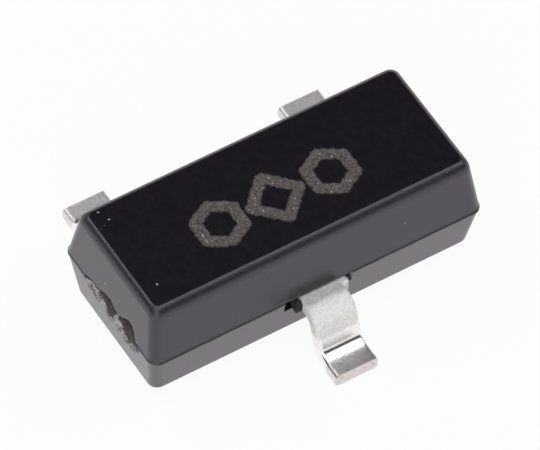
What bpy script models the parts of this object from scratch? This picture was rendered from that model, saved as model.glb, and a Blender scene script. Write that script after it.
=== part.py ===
"""A three-lead surface-mount transistor in a SOT-23 package, with every piece as its own solid.

Three stamped leads come out of a black moulding and bend down to flat feet. Inside, the middle
lead ends in a paddle that carries the silicon die, and two gold wires join the die to the other
leads. The moulding is cut to fit all of them, so it comes apart like the real one never does.
+X runs along the body, +Z is up, and the origin is on the board, under the middle of the body.
"""

import math

import bmesh
import bpy
from mathutils import Matrix, Vector
from mathutils.geometry import interpolate_bezier

# Everything is drawn in millimetres, which suits Blender's own tolerances on a part this small.
# One empty above all the objects brings the drawing to metres.
MILLIMETRES_IN_A_METRE = 1000

# The moulding
BODY_LENGTH = 2.88
BODY_WIDTH = 1.29
TOP_HEIGHT = 0.98
STANDOFF = 0.05
PARTING_HEIGHT = 0.475
END_DRAFT = math.radians(7.0)
SIDE_DRAFT = math.radians(10.5)
CORNER_RADIUS = 0.08
TOP_FILLET = 0.05
BOTTOM_FILLET = 0.02
FLASH_REACH = 0.014
FLASH_HEIGHT = 0.024
POCKET_MARGIN = 0.11
POCKET_DEPTH = 0.06
EJECTOR_RADIUS = 0.26
EJECTOR_DEPTH = 0.012
GATE_DEPTH = 0.045

# The leads, stamped from one strip and then bent
LEAD_WIDTH = 0.37
LEAD_THICKNESS = 0.12
LEAD_PITCH = 0.95
TIP_SPAN = 2.38
SHOULDER_LENGTH = 0.083
BEND_RADIUS = 0.07
RISER_ANGLE = math.radians(72.0)
STAMPED_EDGE = 0.018
STRIP_CORNER = 0.04
# What is left of the bar that tied the leads together, on both sides of each lead
TIE_BAR_STUB = 0.05
TIE_BAR_WIDTH = 0.10

# The paddle and the wire posts, inside the moulding
PADDLE_LENGTH = 0.96
PADDLE_INSET = 0.145
PADDLE_TO_POST = 0.13
POST_WIDTH = 0.23
POST_INSET = 0.145
POST_REACH = 0.61
LOCK_RADIUS = 0.05
LOCK_INSET = 0.10

# The die and what is on it
DIE_SIDE = 0.36
DIE_THICKNESS = 0.12
SAW_BEVEL = 0.012
ATTACH_MARGIN = 0.03
ATTACH_THICKNESS = 0.015
ATTACH_CORNER = 0.05
PAD_SIDE = 0.10
PAD_THICKNESS = 0.005
PAD_SPACING = 0.17
PAD_OFFSET = 0.05

# The bond wires
WIRE_DIAMETER = 0.025
BALL_DIAMETER = 0.078
BALL_HEIGHT = 0.02
LOOP_HEIGHT = 0.15
STITCH_LENGTH = 0.07
STITCH_FLATTENING = 0.65
# The pressed ball from its foot up: shares of its height, and of its radius
BALL_PROFILE = [(0.0, 0.8), (0.25, 1.0), (0.75, 1.0), (1.0, 0.7)]
# How steeply the loop leaves the ball and comes down, as shares of the loop's height and length
LOOP_LAUNCH = 1.8
LOOP_LANDING_BACK = 0.45
LOOP_LANDING_UP = 0.3

# Room left between two solids that touch on the real part
CLEARANCE = 0.005
# How far a cutter runs past what it cuts
OVERRUN = 0.1

ARC_STEPS = 5
BEND_STEPS = 7
FILLET_STEPS = 4
HOLE_STEPS = 20
MARK_STEPS = 40
LOOP_POINTS = 16
# A bevel resolution of n gives n + 1 facets to a quarter turn
EDGE_RESOLUTION = 1
WIRE_RESOLUTION = 2
SMOOTH_ANGLE = math.radians(50.0)
WELD_DISTANCE = 1e-5

# Heights and places that follow from the sizes above
LEAD_BOTTOM = PARTING_HEIGHT - LEAD_THICKNESS
HALF_WIDTH = BODY_WIDTH / 2
ATTACH_BOTTOM = PARTING_HEIGHT + CLEARANCE
DIE_BOTTOM = ATTACH_BOTTOM + ATTACH_THICKNESS + CLEARANCE
DIE_TOP = DIE_BOTTOM + DIE_THICKNESS
PAD_BOTTOM = DIE_TOP + CLEARANCE
BALL_BOTTOM = PAD_BOTTOM + PAD_THICKNESS + CLEARANCE
TIE_BAR_INNER = HALF_WIDTH - POCKET_DEPTH + CLEARANCE
TIE_BAR_OUTER = TIE_BAR_INNER + TIE_BAR_WIDTH
POST_Y = HALF_WIDTH - POST_INSET - POST_WIDTH / 2
PADDLE_WIDTH = BODY_WIDTH - PADDLE_INSET - POST_INSET - POST_WIDTH - PADDLE_TO_POST
# The collector lead points to -Y, so its paddle lies this far on that side of the middle
DIE_Y = -(HALF_WIDTH - PADDLE_INSET - PADDLE_WIDTH / 2)

# The torn edge of the gate: across the end face (y) and up it (z from the parting line)
GATE_UPPER_EDGE = [
    (0.36, 0.004), (0.20, 0.030), (0.10, 0.065), (0.04, 0.105), (-0.06, 0.098), (-0.14, 0.055),
    (-0.20, 0.100), (-0.27, 0.140), (-0.33, 0.138), (-0.375, 0.095), (-0.385, 0.030), (-0.44, 0.008),
]
GATE_LOWER_EDGE = [
    (-0.36, -0.050), (-0.31, -0.085), (-0.25, -0.060), (-0.20, -0.022), (-0.14, -0.022),
    (-0.06, -0.080), (0.03, -0.062), (0.08, -0.016), (0.15, -0.062), (0.28, -0.022),
]


def clear_scene():
    for old in list(bpy.data.objects):
        bpy.data.objects.remove(old, do_unlink=True)


def new_collection(name):
    collection = bpy.data.collections.new(name)
    bpy.context.scene.collection.children.link(collection)
    return collection


def new_material(name, colour, roughness, metallic):
    material = bpy.data.materials.new(name)
    material.use_nodes = True
    shader = material.node_tree.nodes["Principled BSDF"]
    shader.inputs["Base Color"].default_value = (*colour, 1.0)
    shader.inputs["Roughness"].default_value = roughness
    shader.inputs["Metallic"].default_value = metallic
    material.diffuse_color = (*colour, 1.0)
    return material


def rounded(corners, radius, sharp=0):
    """The outline with an arc in place of each corner but the first few, which stay sharp."""
    outline = [Vector(corner) for corner in corners[:sharp]]
    for index in range(sharp, len(corners)):
        here = Vector(corners[index])
        before = (Vector(corners[index - 1]) - here).normalized()
        after = (Vector(corners[(index + 1) % len(corners)]) - here).normalized()
        half_angle = before.angle(after) / 2
        centre = here + (before + after).normalized() * radius / math.sin(half_angle)
        start = here + before * radius / math.tan(half_angle) - centre
        turn = start.angle_signed(here + after * radius / math.tan(half_angle) - centre)
        for step in range(ARC_STEPS + 1):
            # angle_signed counts clockwise turns as positive
            outline.append(centre + Matrix.Rotation(-turn * step / ARC_STEPS, 2) @ start)
    return outline


def grown(corners, distance):
    """The corners of a counter-clockwise outline after each side moves out by the distance."""
    moved = []
    for index, corner in enumerate(corners):
        here = Vector(corner)
        before = (here - Vector(corners[index - 1])).normalized()
        after = (Vector(corners[(index + 1) % len(corners)]) - here).normalized()
        out_before = Vector((before.y, -before.x))
        out_after = Vector((after.y, -after.x))
        moved.append(here + (out_before + out_after) * distance / (1 + out_before.dot(out_after)))
    return moved


def circle(centre, radius, steps=HOLE_STEPS):
    angles = [2 * math.pi * step / steps for step in range(steps)]
    return [Vector(centre) + radius * Vector((math.cos(a), math.sin(a))) for a in angles]


def rectangle(half_x, half_y, y=0.0):
    """Counter-clockwise corners round (0, y)."""
    return [(-half_x, y - half_y), (half_x, y - half_y), (half_x, y + half_y), (-half_x, y + half_y)]


def evaluated_mesh(obj):
    """The object as a plain welded mesh, with the object itself removed."""
    bpy.context.view_layer.update()
    graph = bpy.context.evaluated_depsgraph_get()
    mesh = bpy.data.meshes.new_from_object(obj.evaluated_get(graph))
    mesh.transform(obj.matrix_world)
    bpy.data.objects.remove(obj, do_unlink=True)
    cleaned = bmesh.new()
    cleaned.from_mesh(mesh)
    bmesh.ops.remove_doubles(cleaned, verts=cleaned.verts, dist=WELD_DISTANCE)
    bmesh.ops.recalc_face_normals(cleaned, faces=cleaned.faces)
    cleaned.to_mesh(mesh)
    cleaned.free()
    return mesh


def plate_mesh(outlines, bottom, top, edge_radius=0.0):
    """A flat plate from a 2D curve: the first outline is its edge and the others are holes."""
    curve = bpy.data.curves.new("plate", "CURVE")
    curve.dimensions = "2D"
    curve.fill_mode = "BOTH"
    curve.extrude = (top - bottom) / 2 - edge_radius
    # The bevel grows outwards, so the outline first moves in by as much
    curve.bevel_depth = edge_radius
    curve.bevel_resolution = EDGE_RESOLUTION
    curve.offset = -edge_radius
    for outline in outlines:
        spline = curve.splines.new("POLY")
        spline.points.add(len(outline) - 1)
        for point, place in zip(spline.points, outline):
            point.co = (place[0], place[1], 0, 1)
        spline.use_cyclic_u = True
    guide = bpy.data.objects.new("plate", curve)
    guide.location.z = (top + bottom) / 2
    bpy.context.scene.collection.objects.link(guide)
    return evaluated_mesh(guide)


def block_mesh(size, centre):
    block = bmesh.new()
    bmesh.ops.create_cube(block, size=1)
    bmesh.ops.scale(block, vec=size, verts=block.verts)
    bmesh.ops.translate(block, vec=centre, verts=block.verts)
    mesh = bpy.data.meshes.new("block")
    block.to_mesh(mesh)
    block.free()
    return mesh


def add_piece(name, mesh, material):
    mesh.name = name
    mesh.materials.clear()
    mesh.materials.append(material)
    piece = bpy.data.objects.new(name, mesh)
    piece.parent = drawing
    pieces.objects.link(piece)
    return piece


def add_cutter(name, mesh):
    mesh.name = name
    cutter = bpy.data.objects.new(name, mesh)
    cutter.parent = drawing
    cutter.hide_render = True
    cutter.display_type = "WIRE"
    cutters.objects.link(cutter)
    return cutter


def smooth(mesh):
    mesh.shade_smooth()
    mesh.set_sharp_from_angle(angle=SMOOTH_ANGLE)


# Each lead is drawn pointing to +Y, and the collector's is then turned half round.
def neck_corners(x, reach):
    """The lead at x where it leaves the moulding, up one side and down the other."""
    half = LEAD_WIDTH / 2
    stub = half + TIE_BAR_STUB
    side = [(half, TIE_BAR_INNER), (stub, TIE_BAR_INNER), (stub, TIE_BAR_OUTER), (half, TIE_BAR_OUTER)]
    side.append((half, reach))
    return [(x + out, y) for out, y in side] + [(x - out, y) for out, y in reversed(side)]


def paddle_outline(reach):
    """The collector's flat part: its neck runs to y = reach."""
    neck = LEAD_WIDTH / 2
    front = HALF_WIDTH - PADDLE_INSET
    back = front - PADDLE_WIDTH
    side = PADDLE_LENGTH / 2
    return neck_corners(0, reach), [
        (-neck, front), (-side, front), (-side, back), (side, back), (side, front), (neck, front),
    ]


def paddle_locks():
    """The middles of the holes that the moulding grips the paddle through."""
    x = PADDLE_LENGTH / 2 - LOCK_INSET
    y = HALF_WIDTH - PADDLE_INSET - LOCK_INSET
    return [(x, y), (-x, y)]


def post_outline(side, reach):
    """The flat part of the lead at x = side * LEAD_PITCH: its post runs in towards the middle."""
    neck = LEAD_WIDTH / 2
    back = HALF_WIDTH - POST_INSET
    front = back - POST_WIDTH
    post = [
        (LEAD_PITCH - neck, back), (LEAD_PITCH - POST_REACH, back),
        (LEAD_PITCH - POST_REACH, front), (LEAD_PITCH + neck, front),
    ]
    if side < 0:
        post = [(-x, y) for x, y in reversed(post)]
    return neck_corners(side * LEAD_PITCH, reach), post


def post_locks(side):
    return [(side * LEAD_PITCH, POST_Y)]


def strip_mesh(outline, locks, bottom, top, room=0.0):
    """The flat part of a lead, or the space for it where room is above nothing."""
    neck, flat = outline
    edge = rounded(grown(neck + flat, room), STRIP_CORNER, sharp=len(neck))
    holes = [circle(lock, LOCK_RADIUS - room) for lock in locks]
    return plate_mesh([edge, *holes], bottom - room, top + room, STAMPED_EDGE + room)


def cut_square(shape, y):
    """Cuts the strip off at y, and returns the face that closes it there."""
    whole = shape.verts[:] + shape.edges[:] + shape.faces[:]
    cut = bmesh.ops.bisect_plane(
        shape, geom=whole, plane_co=(0, y, 0), plane_no=(0, 1, 0), clear_outer=True)
    rim = [item for item in cut["geom_cut"] if isinstance(item, bmesh.types.BMEdge)]
    return bmesh.ops.contextual_create(shape, geom=rim)["faces"]


def pull_end(shape, faces, offset):
    """Extrudes the end of the strip by the offset, and returns its new end."""
    made = bmesh.ops.extrude_face_region(shape, geom=faces)["geom"]
    bmesh.ops.delete(shape, geom=[f for f in faces if f.is_valid], context="FACES_ONLY")
    moved = [item for item in made if isinstance(item, bmesh.types.BMVert)]
    bmesh.ops.translate(shape, vec=offset, verts=moved)
    return [item for item in made if isinstance(item, bmesh.types.BMFace)]


def bend_end(shape, faces, centre, angle):
    """Sweeps the end of the strip round a bend, and returns its new end."""
    turn = Matrix.Rotation(angle / BEND_STEPS, 3, "X")
    for _ in range(BEND_STEPS):
        faces = pull_end(shape, faces, (0, 0, 0))
        corners = list({vert for face in faces for vert in face.verts})
        bmesh.ops.rotate(shape, verts=corners, cent=centre, matrix=turn)
    return faces


def form_lead(mesh):
    """Bends the strip down to the board: first bend, riser, second bend, foot."""
    middle_radius = BEND_RADIUS + LEAD_THICKNESS / 2
    bend_drop = middle_radius * (1 - math.cos(RISER_ANGLE))
    riser = (LEAD_BOTTOM - 2 * bend_drop) / math.sin(RISER_ANGLE)
    down = Vector((0, math.cos(RISER_ANGLE), -math.sin(RISER_ANGLE)))
    shape = bmesh.new()
    shape.from_mesh(mesh)
    bend_start = HALF_WIDTH + SHOULDER_LENGTH
    end = cut_square(shape, bend_start)
    end = bend_end(shape, end, (0, bend_start, LEAD_BOTTOM - BEND_RADIUS), -RISER_ANGLE)
    end = pull_end(shape, end, down * riser)
    foot_start = bend_start + 2 * middle_radius * math.sin(RISER_ANGLE) + riser * down.y
    end = bend_end(shape, end, (0, foot_start, LEAD_THICKNESS + BEND_RADIUS), RISER_ANGLE)
    pull_end(shape, end, (0, TIP_SPAN / 2 - foot_start, 0))
    bmesh.ops.recalc_face_normals(shape, faces=shape.faces)
    shape.to_mesh(mesh)
    shape.free()
    return mesh


def add_lead(name, outline, locks, turn, material):
    """One lead, and the cutter for the flat part of it that the moulding holds."""
    past_flash = HALF_WIDTH + FLASH_REACH + OVERRUN
    flat = strip_mesh(outline(past_flash), locks, LEAD_BOTTOM, PARTING_HEIGHT)
    lead = add_piece(name, form_lead(flat), material)
    lead.rotation_euler.z = turn
    smooth(lead.data)
    slot = strip_mesh(outline(past_flash), locks, LEAD_BOTTOM, PARTING_HEIGHT, CLEARANCE)
    add_cutter(name + "_slot", slot).rotation_euler.z = turn
    return lead


def cap_offset(depth, draft, fillet):
    """How far out the wall is at a depth under its cap, from the sharp corner of cap and wall."""
    inset = fillet * (1 - math.sin(draft)) / math.cos(draft)
    if depth < fillet * (1 - math.sin(draft)):
        return math.sqrt(fillet**2 - (fillet - depth) ** 2) - inset
    return depth * math.tan(draft)


def body_section(height, fillet, depth):
    """The moulding's rounded outline at a depth under the cap of a half of this height."""
    along = cap_offset(depth, END_DRAFT, fillet) - height * math.tan(END_DRAFT)
    across = cap_offset(depth, SIDE_DRAFT, fillet) - height * math.tan(SIDE_DRAFT)
    lost = depth * math.tan(SIDE_DRAFT) - cap_offset(depth, SIDE_DRAFT, fillet)
    return rounded(rectangle(BODY_LENGTH / 2 + along, HALF_WIDTH + across), CORNER_RADIUS - lost)


def half_sections(cap_z, fillet, way):
    """(z, outline) of each section of one half, from its cap to the bead at the parting line."""
    height = abs(PARTING_HEIGHT - cap_z)
    turns = [math.pi / 2 * step / FILLET_STEPS for step in range(FILLET_STEPS + 1)]
    depths = [fillet * (1 - math.cos(turn)) for turn in turns]
    depths.append(height - FLASH_HEIGHT / 2)
    return [(cap_z - way * depth, body_section(height, fillet, depth)) for depth in depths]


def flash_section(side):
    """The bead of flash on one side of the parting line."""
    corners = rectangle(BODY_LENGTH / 2 + FLASH_REACH, HALF_WIDTH + FLASH_REACH)
    outline = rounded(corners, CORNER_RADIUS + FLASH_REACH)
    return PARTING_HEIGHT + side * FLASH_HEIGHT / 4, outline


def loft_mesh(sections):
    """A closed solid through sections that all have the same number of points, bottom to top."""
    shape = bmesh.new()
    rings = []
    for z, outline in sections:
        verts = [shape.verts.new((x, y, z)) for x, y in outline]
        rings.append([shape.edges.new((verts[i - 1], verts[i])) for i in range(len(verts))])
    for lower, upper in zip(rings, rings[1:]):
        bmesh.ops.bridge_loops(shape, edges=lower + upper)
    for ring in (rings[0], rings[-1]):
        bmesh.ops.contextual_create(shape, geom=ring)
    bmesh.ops.recalc_face_normals(shape, faces=shape.faces)
    mesh = bpy.data.meshes.new("loft")
    shape.to_mesh(mesh)
    shape.free()
    return mesh


def add_pockets():
    """Beside each lead the moulding steps back, where the strip's tie bar was punched away."""
    top = PARTING_HEIGHT + FLASH_HEIGHT / 2
    depth = POCKET_DEPTH + FLASH_REACH + OVERRUN
    y = HALF_WIDTH - POCKET_DEPTH + depth / 2
    size = (LEAD_WIDTH + 2 * POCKET_MARGIN, depth, top - LEAD_BOTTOM)
    for name, x, side in (("collector", 0, -1), ("base", LEAD_PITCH, 1), ("emitter", -LEAD_PITCH, 1)):
        place = (x, side * y, (top + LEAD_BOTTOM) / 2)
        add_cutter(name + "_pocket", block_mesh(size, place))


def add_gate_scar():
    """The torn place on the end face where the gate was broken off."""
    outline = [Vector((y, PARTING_HEIGHT + z)) for y, z in GATE_UPPER_EDGE + GATE_LOWER_EDGE]
    inner = GATE_DEPTH - BODY_LENGTH / 2
    outer = -(BODY_LENGTH / 2 + FLASH_REACH + OVERRUN)
    scar = plate_mesh([outline], outer, inner)
    # The plate's x, y and z become the part's y, z and x
    scar.transform(Matrix(((0, 0, 1, 0), (1, 0, 0, 0), (0, 1, 0, 0), (0, 0, 0, 1))))
    add_cutter("gate_scar", scar)


def add_ejector_mark():
    """The shallow round mark of the pin that pushed the moulding out of its mould."""
    outline = circle((0, 0), EJECTOR_RADIUS, MARK_STEPS)
    add_cutter("ejector_mark", plate_mesh([outline], STANDOFF - OVERRUN, STANDOFF + EJECTOR_DEPTH))


def add_moulding(material):
    lower = half_sections(STANDOFF, BOTTOM_FILLET, -1)
    upper = half_sections(TOP_HEIGHT, TOP_FILLET, 1)
    bead = [flash_section(-1), flash_section(1)]
    mesh = loft_mesh(lower + bead + upper[::-1])
    moulding = add_piece("mould_body", mesh, material)
    add_pockets()
    add_gate_scar()
    add_ejector_mark()
    hollow = moulding.modifiers.new("leads, die and wires", "BOOLEAN")
    hollow.operation = "DIFFERENCE"
    hollow.solver = "EXACT"
    hollow.operand_type = "COLLECTION"
    hollow.collection = cutters
    smooth(mesh)
    return moulding


def die_mesh(room=0.0):
    """The die, with the bevel that the dicing saw leaves round its top."""
    half = DIE_SIDE / 2 + room
    bevel_inside = half - SAW_BEVEL
    return loft_mesh([
        (DIE_BOTTOM - room, rectangle(half, half, DIE_Y)),
        (DIE_TOP + room - SAW_BEVEL, rectangle(half, half, DIE_Y)),
        (DIE_TOP + room, rectangle(bevel_inside, bevel_inside, DIE_Y)),
    ])


def attach_mesh(room=0.0):
    """The pressed-out layer of silver-filled adhesive under the die."""
    half = DIE_SIDE / 2 + ATTACH_MARGIN + room
    outline = rounded(rectangle(half, half, DIE_Y), ATTACH_CORNER + room)
    return plate_mesh([outline], ATTACH_BOTTOM - room, ATTACH_BOTTOM + ATTACH_THICKNESS + room)


def pad_place(side):
    return side * PAD_SPACING / 2, DIE_Y + PAD_OFFSET


def pad_mesh(side, room=0.0):
    x, y = pad_place(side)
    size = (PAD_SIDE + 2 * room, PAD_SIDE + 2 * room, PAD_THICKNESS + 2 * room)
    return block_mesh(size, (x, y, PAD_BOTTOM + PAD_THICKNESS / 2))


def wire_path(side, room):
    """(place, radius) along a wire: a pressed ball, a straight rise, a loop, and the way down."""
    x, y = pad_place(side)
    radius = WIRE_DIAMETER / 2
    path = []
    for up, out in BALL_PROFILE:
        path.append((Vector((x, y, BALL_BOTTOM + up * BALL_HEIGHT)), out * BALL_DIAMETER / 2))
    path[0][0].z -= room
    start = Vector((x, y, BALL_BOTTOM + BALL_HEIGHT + radius))
    end_x = side * (LEAD_PITCH - POST_REACH + POST_WIDTH / 2)
    end = Vector((end_x, POST_Y, PARTING_HEIGHT + CLEARANCE + radius))
    run = Vector((end.x - start.x, end.y - start.y, 0))
    launch = start + Vector((0, 0, LOOP_LAUNCH * LOOP_HEIGHT))
    landing = end - LOOP_LANDING_BACK * run + Vector((0, 0, LOOP_LANDING_UP * LOOP_HEIGHT))
    path += [(place, radius) for place in interpolate_bezier(start, launch, landing, end, LOOP_POINTS)]
    path.append((end + run.normalized() * (STITCH_LENGTH + room), radius))
    return path


def press_stitch(mesh, path, room):
    """Flattens and spreads the wire's last stretch, as the capillary presses it on the post."""
    start, end = path[-2][0], path[-1][0]
    along = (end - start).normalized()
    across = Vector((-along.y, along.x, 0))
    radius = WIRE_DIAMETER / 2
    for vert in mesh.vertices:
        share = (vert.co - start).dot(along) / STITCH_LENGTH
        pressed = min(max(share, 0.0), 1.0) * STITCH_FLATTENING
        wider = (radius * (1 + pressed) + room) / (radius + room)
        lower = (radius * (1 - pressed) + room) / (radius + room)
        if pressed > 0:
            vert.co += across * across.dot(vert.co - start) * (wider - 1)
            vert.co.z = start.z - radius * pressed + (vert.co.z - start.z) * lower


def wire_mesh(side, room=0.0):
    path = wire_path(side, room)
    curve = bpy.data.curves.new("wire", "CURVE")
    curve.dimensions = "3D"
    curve.bevel_depth = 1
    curve.bevel_resolution = WIRE_RESOLUTION
    curve.use_fill_caps = True
    spline = curve.splines.new("POLY")
    spline.points.add(len(path) - 1)
    for point, (place, radius) in zip(spline.points, path):
        point.co = (*place, 1)
        point.radius = radius + room
    guide = bpy.data.objects.new("wire", curve)
    bpy.context.scene.collection.objects.link(guide)
    mesh = evaluated_mesh(guide)
    press_stitch(mesh, path, room)
    return mesh


def add_die_stack():
    """The die with its adhesive, its two bond pads and its wires, and the room for each."""
    silicon = new_material("silicon", (0.13, 0.13, 0.16), 0.18, 0.6)
    adhesive = new_material("silver_adhesive", (0.55, 0.54, 0.52), 0.55, 0.7)
    aluminium = new_material("aluminium", (0.80, 0.80, 0.81), 0.35, 1.0)
    gold = new_material("gold", (1.0, 0.71, 0.29), 0.22, 1.0)
    made = [
        ("transistor_die", die_mesh, (), silicon),
        ("die_attach", attach_mesh, (), adhesive),
        ("base_pad", pad_mesh, (1,), aluminium),
        ("emitter_pad", pad_mesh, (-1,), aluminium),
        ("base_wire", wire_mesh, (1,), gold),
        ("emitter_wire", wire_mesh, (-1,), gold),
    ]
    for name, make, where, material in made:
        piece = add_piece(name, make(*where), material)
        smooth(piece.data)
        add_cutter(name + "_room", make(*where, room=CLEARANCE))


def add_leads():
    tin = new_material("tinned_copper", (0.72, 0.70, 0.68), 0.32, 1.0)
    add_lead("collector_lead", paddle_outline, paddle_locks(), math.pi, tin)
    for name, side in (("base_lead", 1), ("emitter_lead", -1)):
        add_lead(name, lambda reach, side=side: post_outline(side, reach), post_locks(side), 0.0, tin)


clear_scene()
pieces = new_collection("sot23_transistor")
cutters = new_collection("cutters")
drawing = bpy.data.objects.new("millimetre_drawing", None)
drawing.scale = Vector((1, 1, 1)) / MILLIMETRES_IN_A_METRE
pieces.objects.link(drawing)

add_leads()
add_die_stack()
add_moulding(new_material("moulding_compound", (0.018, 0.017, 0.019), 0.38, 0.0))
bpy.context.view_layer.update()
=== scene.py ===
# %% [markdown]
# A three-lead transistor through a macro lens. The real thing is three millimetres long: a black
# moulded block with three tinned leads bent down to flat feet.
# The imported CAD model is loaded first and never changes. Every piece below is made inside it, in
# millimetres, and brought to metres when it is finished.

# %% Load the frame
import math

import bmesh
import bpy
import numpy as np
from mathutils import Matrix, Vector, noise


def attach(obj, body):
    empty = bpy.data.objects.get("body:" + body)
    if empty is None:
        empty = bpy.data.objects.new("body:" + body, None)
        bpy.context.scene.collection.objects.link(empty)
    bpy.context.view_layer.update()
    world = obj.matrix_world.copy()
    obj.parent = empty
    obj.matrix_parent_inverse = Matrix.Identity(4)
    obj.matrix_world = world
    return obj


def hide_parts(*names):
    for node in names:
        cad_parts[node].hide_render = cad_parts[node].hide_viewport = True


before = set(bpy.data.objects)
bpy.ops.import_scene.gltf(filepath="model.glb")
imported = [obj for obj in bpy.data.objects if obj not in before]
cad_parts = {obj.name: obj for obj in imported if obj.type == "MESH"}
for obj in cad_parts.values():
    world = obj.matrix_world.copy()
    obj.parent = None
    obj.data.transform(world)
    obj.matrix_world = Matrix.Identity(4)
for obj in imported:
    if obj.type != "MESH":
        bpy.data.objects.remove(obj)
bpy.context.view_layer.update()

MM = 0.001

# %% [markdown]
# Three helpers come first, because most pieces need them. One puts a new object into the scene, one
# stands an object at a place, and one opens a mesh for bmesh's tools and writes it back.

# %% Helpers for objects and meshes
def new_object(name, data):
    """An object of this name and data, put into the scene."""
    thing = bpy.data.objects.new(name, data)
    bpy.context.scene.collection.objects.link(thing)
    return thing


def standing(place, axes):
    """The matrix of an object at this place, with its own x, y and z along these axes."""
    return Matrix.Translation(place) @ Matrix(axes).transposed().to_4x4()


def edited(mesh, edit):
    """The mesh after an edit, which is a function of its opened shape."""
    shape = bmesh.new()
    shape.from_mesh(mesh)
    edit(shape)
    shape.to_mesh(mesh)
    shape.free()
    return mesh


# %% [markdown]
# The camera stands where that of the photograph stood: in front and to the left, looking down at
# 53 degrees. A part this small is photographed through a long lens, which keeps its edges nearly
# parallel, so the lens is long here too and the camera is 53 mm away.

# %% Camera
AZIMUTH = math.radians(-32.63)
ELEVATION = math.radians(53.06)
ROLL = math.radians(1.54)
AIM = Vector((-0.0215, 0.0265, 0.5)) * MM
DISTANCE = 53.0 * MM
FOCAL_LENGTH = 474.2
SENSOR_WIDTH = 36
NEAREST, FURTHEST = 1 * MM, 10.0


def camera_axes():
    """The camera's own right, up and backward directions."""
    level = math.cos(ELEVATION)
    back = Vector((math.sin(AZIMUTH) * level, -math.cos(AZIMUTH) * level, math.sin(ELEVATION)))
    right = Vector((math.cos(AZIMUTH), math.sin(AZIMUTH), 0))
    up = back.cross(right)
    return (math.cos(ROLL) * right + math.sin(ROLL) * up,
            math.cos(ROLL) * up - math.sin(ROLL) * right, back)


lens = bpy.data.cameras.new("camera")
lens.lens, lens.sensor_width = FOCAL_LENGTH, SENSOR_WIDTH
lens.clip_start, lens.clip_end = NEAREST, FURTHEST
camera = new_object("camera", lens)
axes = camera_axes()
camera.matrix_world = standing(AIM + axes[2] * DISTANCE, axes)
bpy.context.scene.camera = camera
bpy.context.scene.view_settings.view_transform = "Standard"
print("camera", [round(value / MM, 2) for value in camera.location], "mm")

# %% [markdown]
# Node trees are built in the script, and these helpers keep that short. One adds a node with its
# settings and inputs, where an input is a plain value or a socket to join on. The others are the
# kinds of node that come back most: arithmetic, a soft ramp, a mix of two colours and a vector
# made longer or shorter.

# %% Helpers for node trees
def feed(tree, socket, value):
    """Joins a node's input to another socket, or gives it a plain value."""
    if isinstance(value, bpy.types.NodeSocket):
        tree.links.new(value, socket)
    else:
        socket.default_value = value


def set_inputs(tree, node, **inputs):
    """Feeds a node's inputs by their names (spaces in names as _)."""
    for name, value in inputs.items():
        label = name.replace("_", " ")
        feed(tree, next(s for s in node.inputs if s.name == label and s.enabled), value)


def add_node(tree, kind, settings=None, **inputs):
    """A new node with its settings and its inputs."""
    node = tree.nodes.new(kind)
    for name, value in (settings or {}).items():
        setattr(node, name, value)
    set_inputs(tree, node, **inputs)
    return node


def enabled_output(node):
    """The one output that a node with several kinds of data uses now."""
    return next(s for s in node.outputs if s.enabled)


def math_node(tree, operation, *values):
    """A Math node's result, from numbers or sockets."""
    node = add_node(tree, "ShaderNodeMath", {"operation": operation})
    for socket, value in zip(node.inputs, values):
        feed(tree, socket, value)
    return node.outputs[0]


def times(tree, first, second):
    return math_node(tree, "MULTIPLY", first, second)


def scaled(tree, vector, scale):
    """A vector, such as a place or a direction, times a number or a socket."""
    node = add_node(
        tree, "ShaderNodeVectorMath", {"operation": "SCALE"}, Vector=vector, Scale=scale)
    return node.outputs["Vector"]


def ramp_node(tree, value, low, high, to_low=0.0, to_high=1.0):
    """The value brought from low..high to to_low..to_high, with soft ends."""
    node = add_node(
        tree, "ShaderNodeMapRange", {"interpolation_type": "SMOOTHSTEP"}, Value=value,
        From_Min=low, From_Max=high, To_Min=to_low, To_Max=to_high)
    return node.outputs["Result"]


def mix_colours(tree, share, first, second):
    """Two colours, numbers or sockets, mixed by a share."""
    node = add_node(tree, "ShaderNodeMix", {"data_type": "RGBA"}, Factor=share, A=first, B=second)
    return enabled_output(node)


# %% [markdown]
# The studio is a white table, a dim ceiling over a pale horizon, and three softboxes. A black
# glossy block shows its surroundings more than its colour. Its flat top mirrors the part of the
# ceiling behind it, which is left dark, and its walls mirror the white table. The front softbox
# hangs overhead and a little to the front, and a smaller one hangs at the back left, so that only
# the rounded edges and the bends of the leads mirror them: that draws the bright lines along them.
# The fill softbox hangs beside the camera. The edges in view don't mirror it into the lens, so it
# only lifts what is matt: the frosted tin, the marks and the torn gate.

# %% Table and world
TABLE_RADIUS = 1.0
TABLE_STEPS = 64
TABLE_GLOW = 0.93
CEILING = (0.042, 0.042, 0.047, 1)
WHITE = (1, 1, 1, 1)
TABLE_WHITE = (0.93, 0.93, 0.935, 1)
# The horizon fades into the ceiling between these heights of the view direction
HORIZON_LOW, HORIZON_HIGH = 0.08, 0.34


def table_material():
    """Matt white, lifted towards plain white where the camera or a reflection sees it."""
    material = bpy.data.materials.new("white_table")
    material.use_nodes = True
    tree = material.node_tree
    tree.nodes.clear()
    paint = add_node(tree, "ShaderNodeBsdfDiffuse", Color=TABLE_WHITE)
    glow = add_node(tree, "ShaderNodeEmission", Color=WHITE, Strength=1.0)
    path = add_node(tree, "ShaderNodeLightPath")
    seen = math_node(tree, "MAXIMUM", path.outputs["Is Camera Ray"], path.outputs["Is Glossy Ray"])
    seen = math_node(tree, "MAXIMUM", seen, path.outputs["Is Transmission Ray"])
    share = times(tree, seen, TABLE_GLOW)
    mixed = add_node(tree, "ShaderNodeMixShader", Fac=share)
    for part, socket in zip((paint, glow), mixed.inputs[1:]):
        tree.links.new(part.outputs[0], socket)
    add_node(tree, "ShaderNodeOutputMaterial", Surface=mixed.outputs[0])
    return material


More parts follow.
